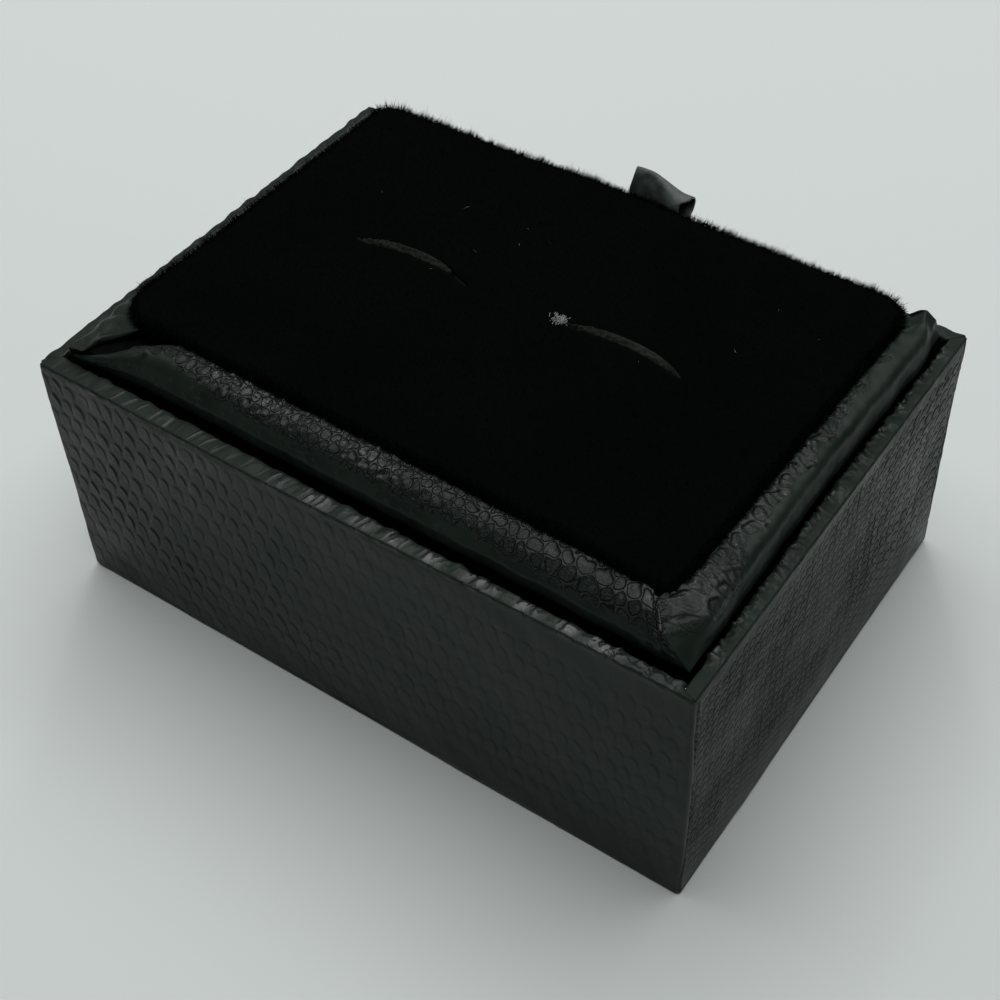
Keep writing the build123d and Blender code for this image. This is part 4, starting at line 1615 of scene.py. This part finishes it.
class CUFFLINK_OT_coverings(Operator):
    """Covers the four walls of the base"""

    bl_idname = "cufflink.coverings"
    bl_label = "Base coverings"

    def execute(self, context):
        settings = settings_of(context, "leatherette")
        colour = tuple(settings.colour)
        # The first two numbers of each lines triple set how dark the painted shade of the outlines and of the
        # crescents is.
        long_way = leatherette_material(
            "long wall leatherette", colour, (0.05, 1.2, 0.0), (0.03, 0.006), (0.05, (0.64, -0.77)), 1.0,
        )
        short_way = leatherette_material(
            "short wall leatherette", colour, (0.15, 2.6, 0.03), (0.08, 0.006), (0.085, (-0.98, 0.2)), 0.9,
        )
        for side in SIDES:
            make_wall(side, settings, long_way if side in ("front", "back") else short_way)
        return {"FINISHED"}


class CUFFLINK_OT_collar(Operator):
    """Makes the four padded strips round the pad"""

    bl_idname = "cufflink.collar"
    bl_label = "Padded collar"

    def execute(self, context):
        colour = tuple(settings_of(context, "leatherette").colour)
        # The first two numbers of each lines triple set how dark the painted shade of the ring outlines and
        # of the crescents is.
        ringed = leatherette_material(
            "collar leatherette", colour, (1.1, 0.3, 0.06), (0.17, 0.005), (0.085, (0.5, -0.87)), 0.62,
        )
        arched = leatherette_material(
            "side collar leatherette", colour, (0.25, 1.6, 0.05), (0.15, 0.005), (0.06, (0.35, -0.94)), 0.6,
        )
        settings = settings_of(context, "collar")
        for side in SIDES:
            make_collar_strip(side, settings, arched if side == "right" else ringed)
        return {"FINISHED"}


class CUFFLINK_OT_pad(Operator):
    """Makes the velvet pad, its foam and its pile"""

    bl_idname = "cufflink.pad"
    bl_label = "Velvet pad"

    def execute(self, context):
        settings = settings_of(context, "pad")
        velvet = velvet_material("velvet", tuple(settings.colour))
        foam = fibrous_material(
            "foam", (0.007, 0.0085, 0.007), (0.021, 0.0235, 0.0195), 0.95, 2300, 0.09, specular=0.05,
        )
        make_pad(settings, velvet, foam)
        make_slit_foam(settings, foam)
        make_pile(settings, velvet)
        return {"FINISHED"}


class CUFFLINK_OT_tab(Operator):
    """Makes the ribbon pull tab"""

    bl_idname = "cufflink.tab"
    bl_label = "Pull tab"

    def execute(self, context):
        settings = settings_of(context, "tab")
        make_tab(settings, ribbon_material("tab ribbon", tuple(settings.colour)))
        return {"FINISHED"}


class CUFFLINK_OT_lint(Operator):
    """Adds the lint that velvet catches"""

    bl_idname = "cufflink.lint"
    bl_label = "Lint"

    def execute(self, context):
        thread = fibrous_material("lint", (0.30, 0.31, 0.30), (0.5, 0.5, 0.49), 0.9, 3000, 0.01, specular=0.1)
        make_lint(thread)
        return {"FINISHED"}


class CUFFLINK_OT_boards(Operator):
    """Gives the boards and papers of the core their finishes"""

    bl_idname = "cufflink.boards"
    bl_label = "Boards and papers"

    def execute(self, context):
        black = fibrous_material(
            "black board", (0.002, 0.0024, 0.0022), (0.005, 0.0055, 0.005), 0.94, 1300, 0.02, specular=0.0,
        )
        paper = fibrous_material(
            "black paper", (0.014, 0.014, 0.0135), (0.03, 0.03, 0.029), 0.7, 2100, 0.012,
        )
        finishes = {"greyboard": greyboard(), "black_board": black, "black_paper": paper}
        slots = {part["node"]: part["material_slot"] for part in frame["record"]["subparts"]}
        for name, node in frame["nodes"].items():
            finish = finishes.get(slots[name])
            if finish is not None:
                node.data.materials.clear()
                node.data.materials.append(finish)
        return {"FINISHED"}


class CUFFLINK_OT_stage(Operator):
    """Lays the floor and sets the lights and the camera"""

    bl_idname = "cufflink.stage"
    bl_label = "Floor, light and camera"

    def execute(self, context):
        settings = settings_of(context, "stage")
        make_floor(tuple(settings.floor_colour))
        make_lights(context.scene, settings)
        make_camera(context.scene)
        return {"FINISHED"}


FLOOR_REACH = 1500


def make_floor(colour):
    """A large floor that the box stands on."""
    material, tree, shader, place = new_material("floor", Roughness=0.9, Specular_IOR_Level=0.1)
    cloud = noise(tree, place["Object"], 6, 2.0, 0.4)
    mixed = blend_colours(tree, cloud, shade_of(colour, 0.985), shade_of(colour, 1.015))
    put(tree, mixed, shader["Base Color"])
    grain = noise(tree, place["Object"], 2500, 2.0, 0.5)
    put(tree, bump(tree, times(tree, grain, 0.004)), shader["Normal"])
    line = np.linspace(-FLOOR_REACH, FLOOR_REACH, 13)
    x, y = np.meshgrid(line, line)
    points = np.stack([x, y, 0 * x], -1).reshape(-1, 3)
    floor = make_object("floor", points, [grid_quads(number_grid(x.shape))], material, outward=(0, 0, 1))


LAMPS = (
    ("ceiling", 1.0, 0.8, 0.8, (0.0, 0.1, 0.7)),
    ("back window", 0.124, 0.55, 0.4, (-0.16, 0.42, 0.50)),
    ("left window", 0.118, 0.5, 0.5, (-0.5, 0.05, 0.45)),
    ("small lamp", 0.05, 0.07, 0.07, (-0.30, 0.45, 0.53)),
)


def make_lights(scene, settings):
    """A broad soft ceiling lamp, weaker ones behind and at the left, and a little light all round."""
    world = bpy.data.worlds.new("soft sky")
    world.use_nodes = True
    scene.world = world
    sky = world.node_tree.nodes["Background"]
    sky.inputs["Color"].default_value = (0.96, 1.0, 0.985, 1)
    sky.inputs["Strength"].default_value = settings.sky
    for name, share, wide, deep, place in LAMPS:
        lamp = bpy.data.lights.new(name, "AREA")
        lamp.shape = "RECTANGLE"
        lamp.size, lamp.size_y = wide, deep
        lamp.energy = settings.lamp * share
        thing = bpy.data.objects.new(name, lamp)
        scene.collection.objects.link(thing)
        aim(thing, np.array(place), np.array([0.0, 0.0, 0.02]))


def turn_to(thing, right, back, place):
    """Puts a lamp or the camera at a place, by the directions of its own +X and +Z."""
    matrix = np.eye(4)
    matrix[:3] = np.stack([right, np.cross(back, right), back, place], 1)
    thing.matrix_world = Matrix(matrix.tolist())


def aim(thing, place, target):
    """Puts a lamp at a place with its beam, its own -Z, towards a target."""
    back = (place - target) / np.linalg.norm(place - target)
    across = np.cross([0, 0, 1.0], back)
    turn_to(thing, across / np.linalg.norm(across), back, place)


CAMERA_PLACE = (0.080268, -0.109354, 0.153033)
CAMERA_RIGHT = (0.82568, 0.56376, -0.02075)
CAMERA_BACK = (0.41321, -0.57932, 0.70260)


def make_camera(scene):
    """A close view from the front right, well above the box."""
    camera = bpy.data.cameras.new("camera")
    camera.lens = 62.02
    camera.sensor_width = 36.0
    camera.shift_x, camera.shift_y = -0.0229, -0.0643
    camera.clip_start = 0.005
    thing = bpy.data.objects.new("camera", camera)
    scene.collection.objects.link(thing)
    turn_to(thing, CAMERA_RIGHT, CAMERA_BACK, CAMERA_PLACE)
    scene.camera = thing


class CufflinkBoxSettings(PropertyGroup):
    """All the settings of the box."""

    leatherette: PointerProperty(type=LeatheretteSettings)
    collar: PointerProperty(type=CollarSettings)
    pad: PointerProperty(type=PadSettings)
    tab: PointerProperty(type=TabSettings)
    stage: PointerProperty(type=StageSettings)


OPERATORS = (
    CUFFLINK_OT_boards,
    CUFFLINK_OT_coverings,
    CUFFLINK_OT_collar,
    CUFFLINK_OT_pad,
    CUFFLINK_OT_tab,
    CUFFLINK_OT_lint,
    CUFFLINK_OT_stage,
)


class CUFFLINK_PT_panel(Panel):
    """Sizes, colours and steps of the cufflink box"""

    bl_label = "Cufflink display box"
    bl_idname = "CUFFLINK_PT_panel"
    bl_space_type = "VIEW_3D"
    bl_region_type = "UI"
    bl_category = "Cufflink box"

    def draw(self, context):
        layout = self.layout
        for name in ("leatherette", "collar", "pad", "tab", "stage"):
            group = getattr(context.scene.cufflink_box, name)
            box = layout.box()
            box.label(text=name.capitalize())
            for prop in group.bl_rna.properties:
                if not prop.is_readonly and prop.identifier != "name":
                    box.prop(group, prop.identifier)
        for operator in OPERATORS:
            layout.operator(operator.bl_idname)


CLASSES = (
    LeatheretteSettings,
    CollarSettings,
    PadSettings,
    TabSettings,
    StageSettings,
    CufflinkBoxSettings,
    *OPERATORS,
    CUFFLINK_PT_panel,
)


def register():
    for cls in CLASSES:
        bpy.utils.register_class(cls)
    bpy.types.Scene.cufflink_box = PointerProperty(type=CufflinkBoxSettings)


def unregister():
    del bpy.types.Scene.cufflink_box
    for cls in reversed(CLASSES):
        bpy.utils.unregister_class(cls)


def main():
    register()
    scene = bpy.context.scene
    scene.view_settings.view_transform = "Standard"
    for operator in OPERATORS:
        group, name = operator.bl_idname.split(".")
        getattr(getattr(bpy.ops, group), name)()


if __name__ == "__main__":
    main()
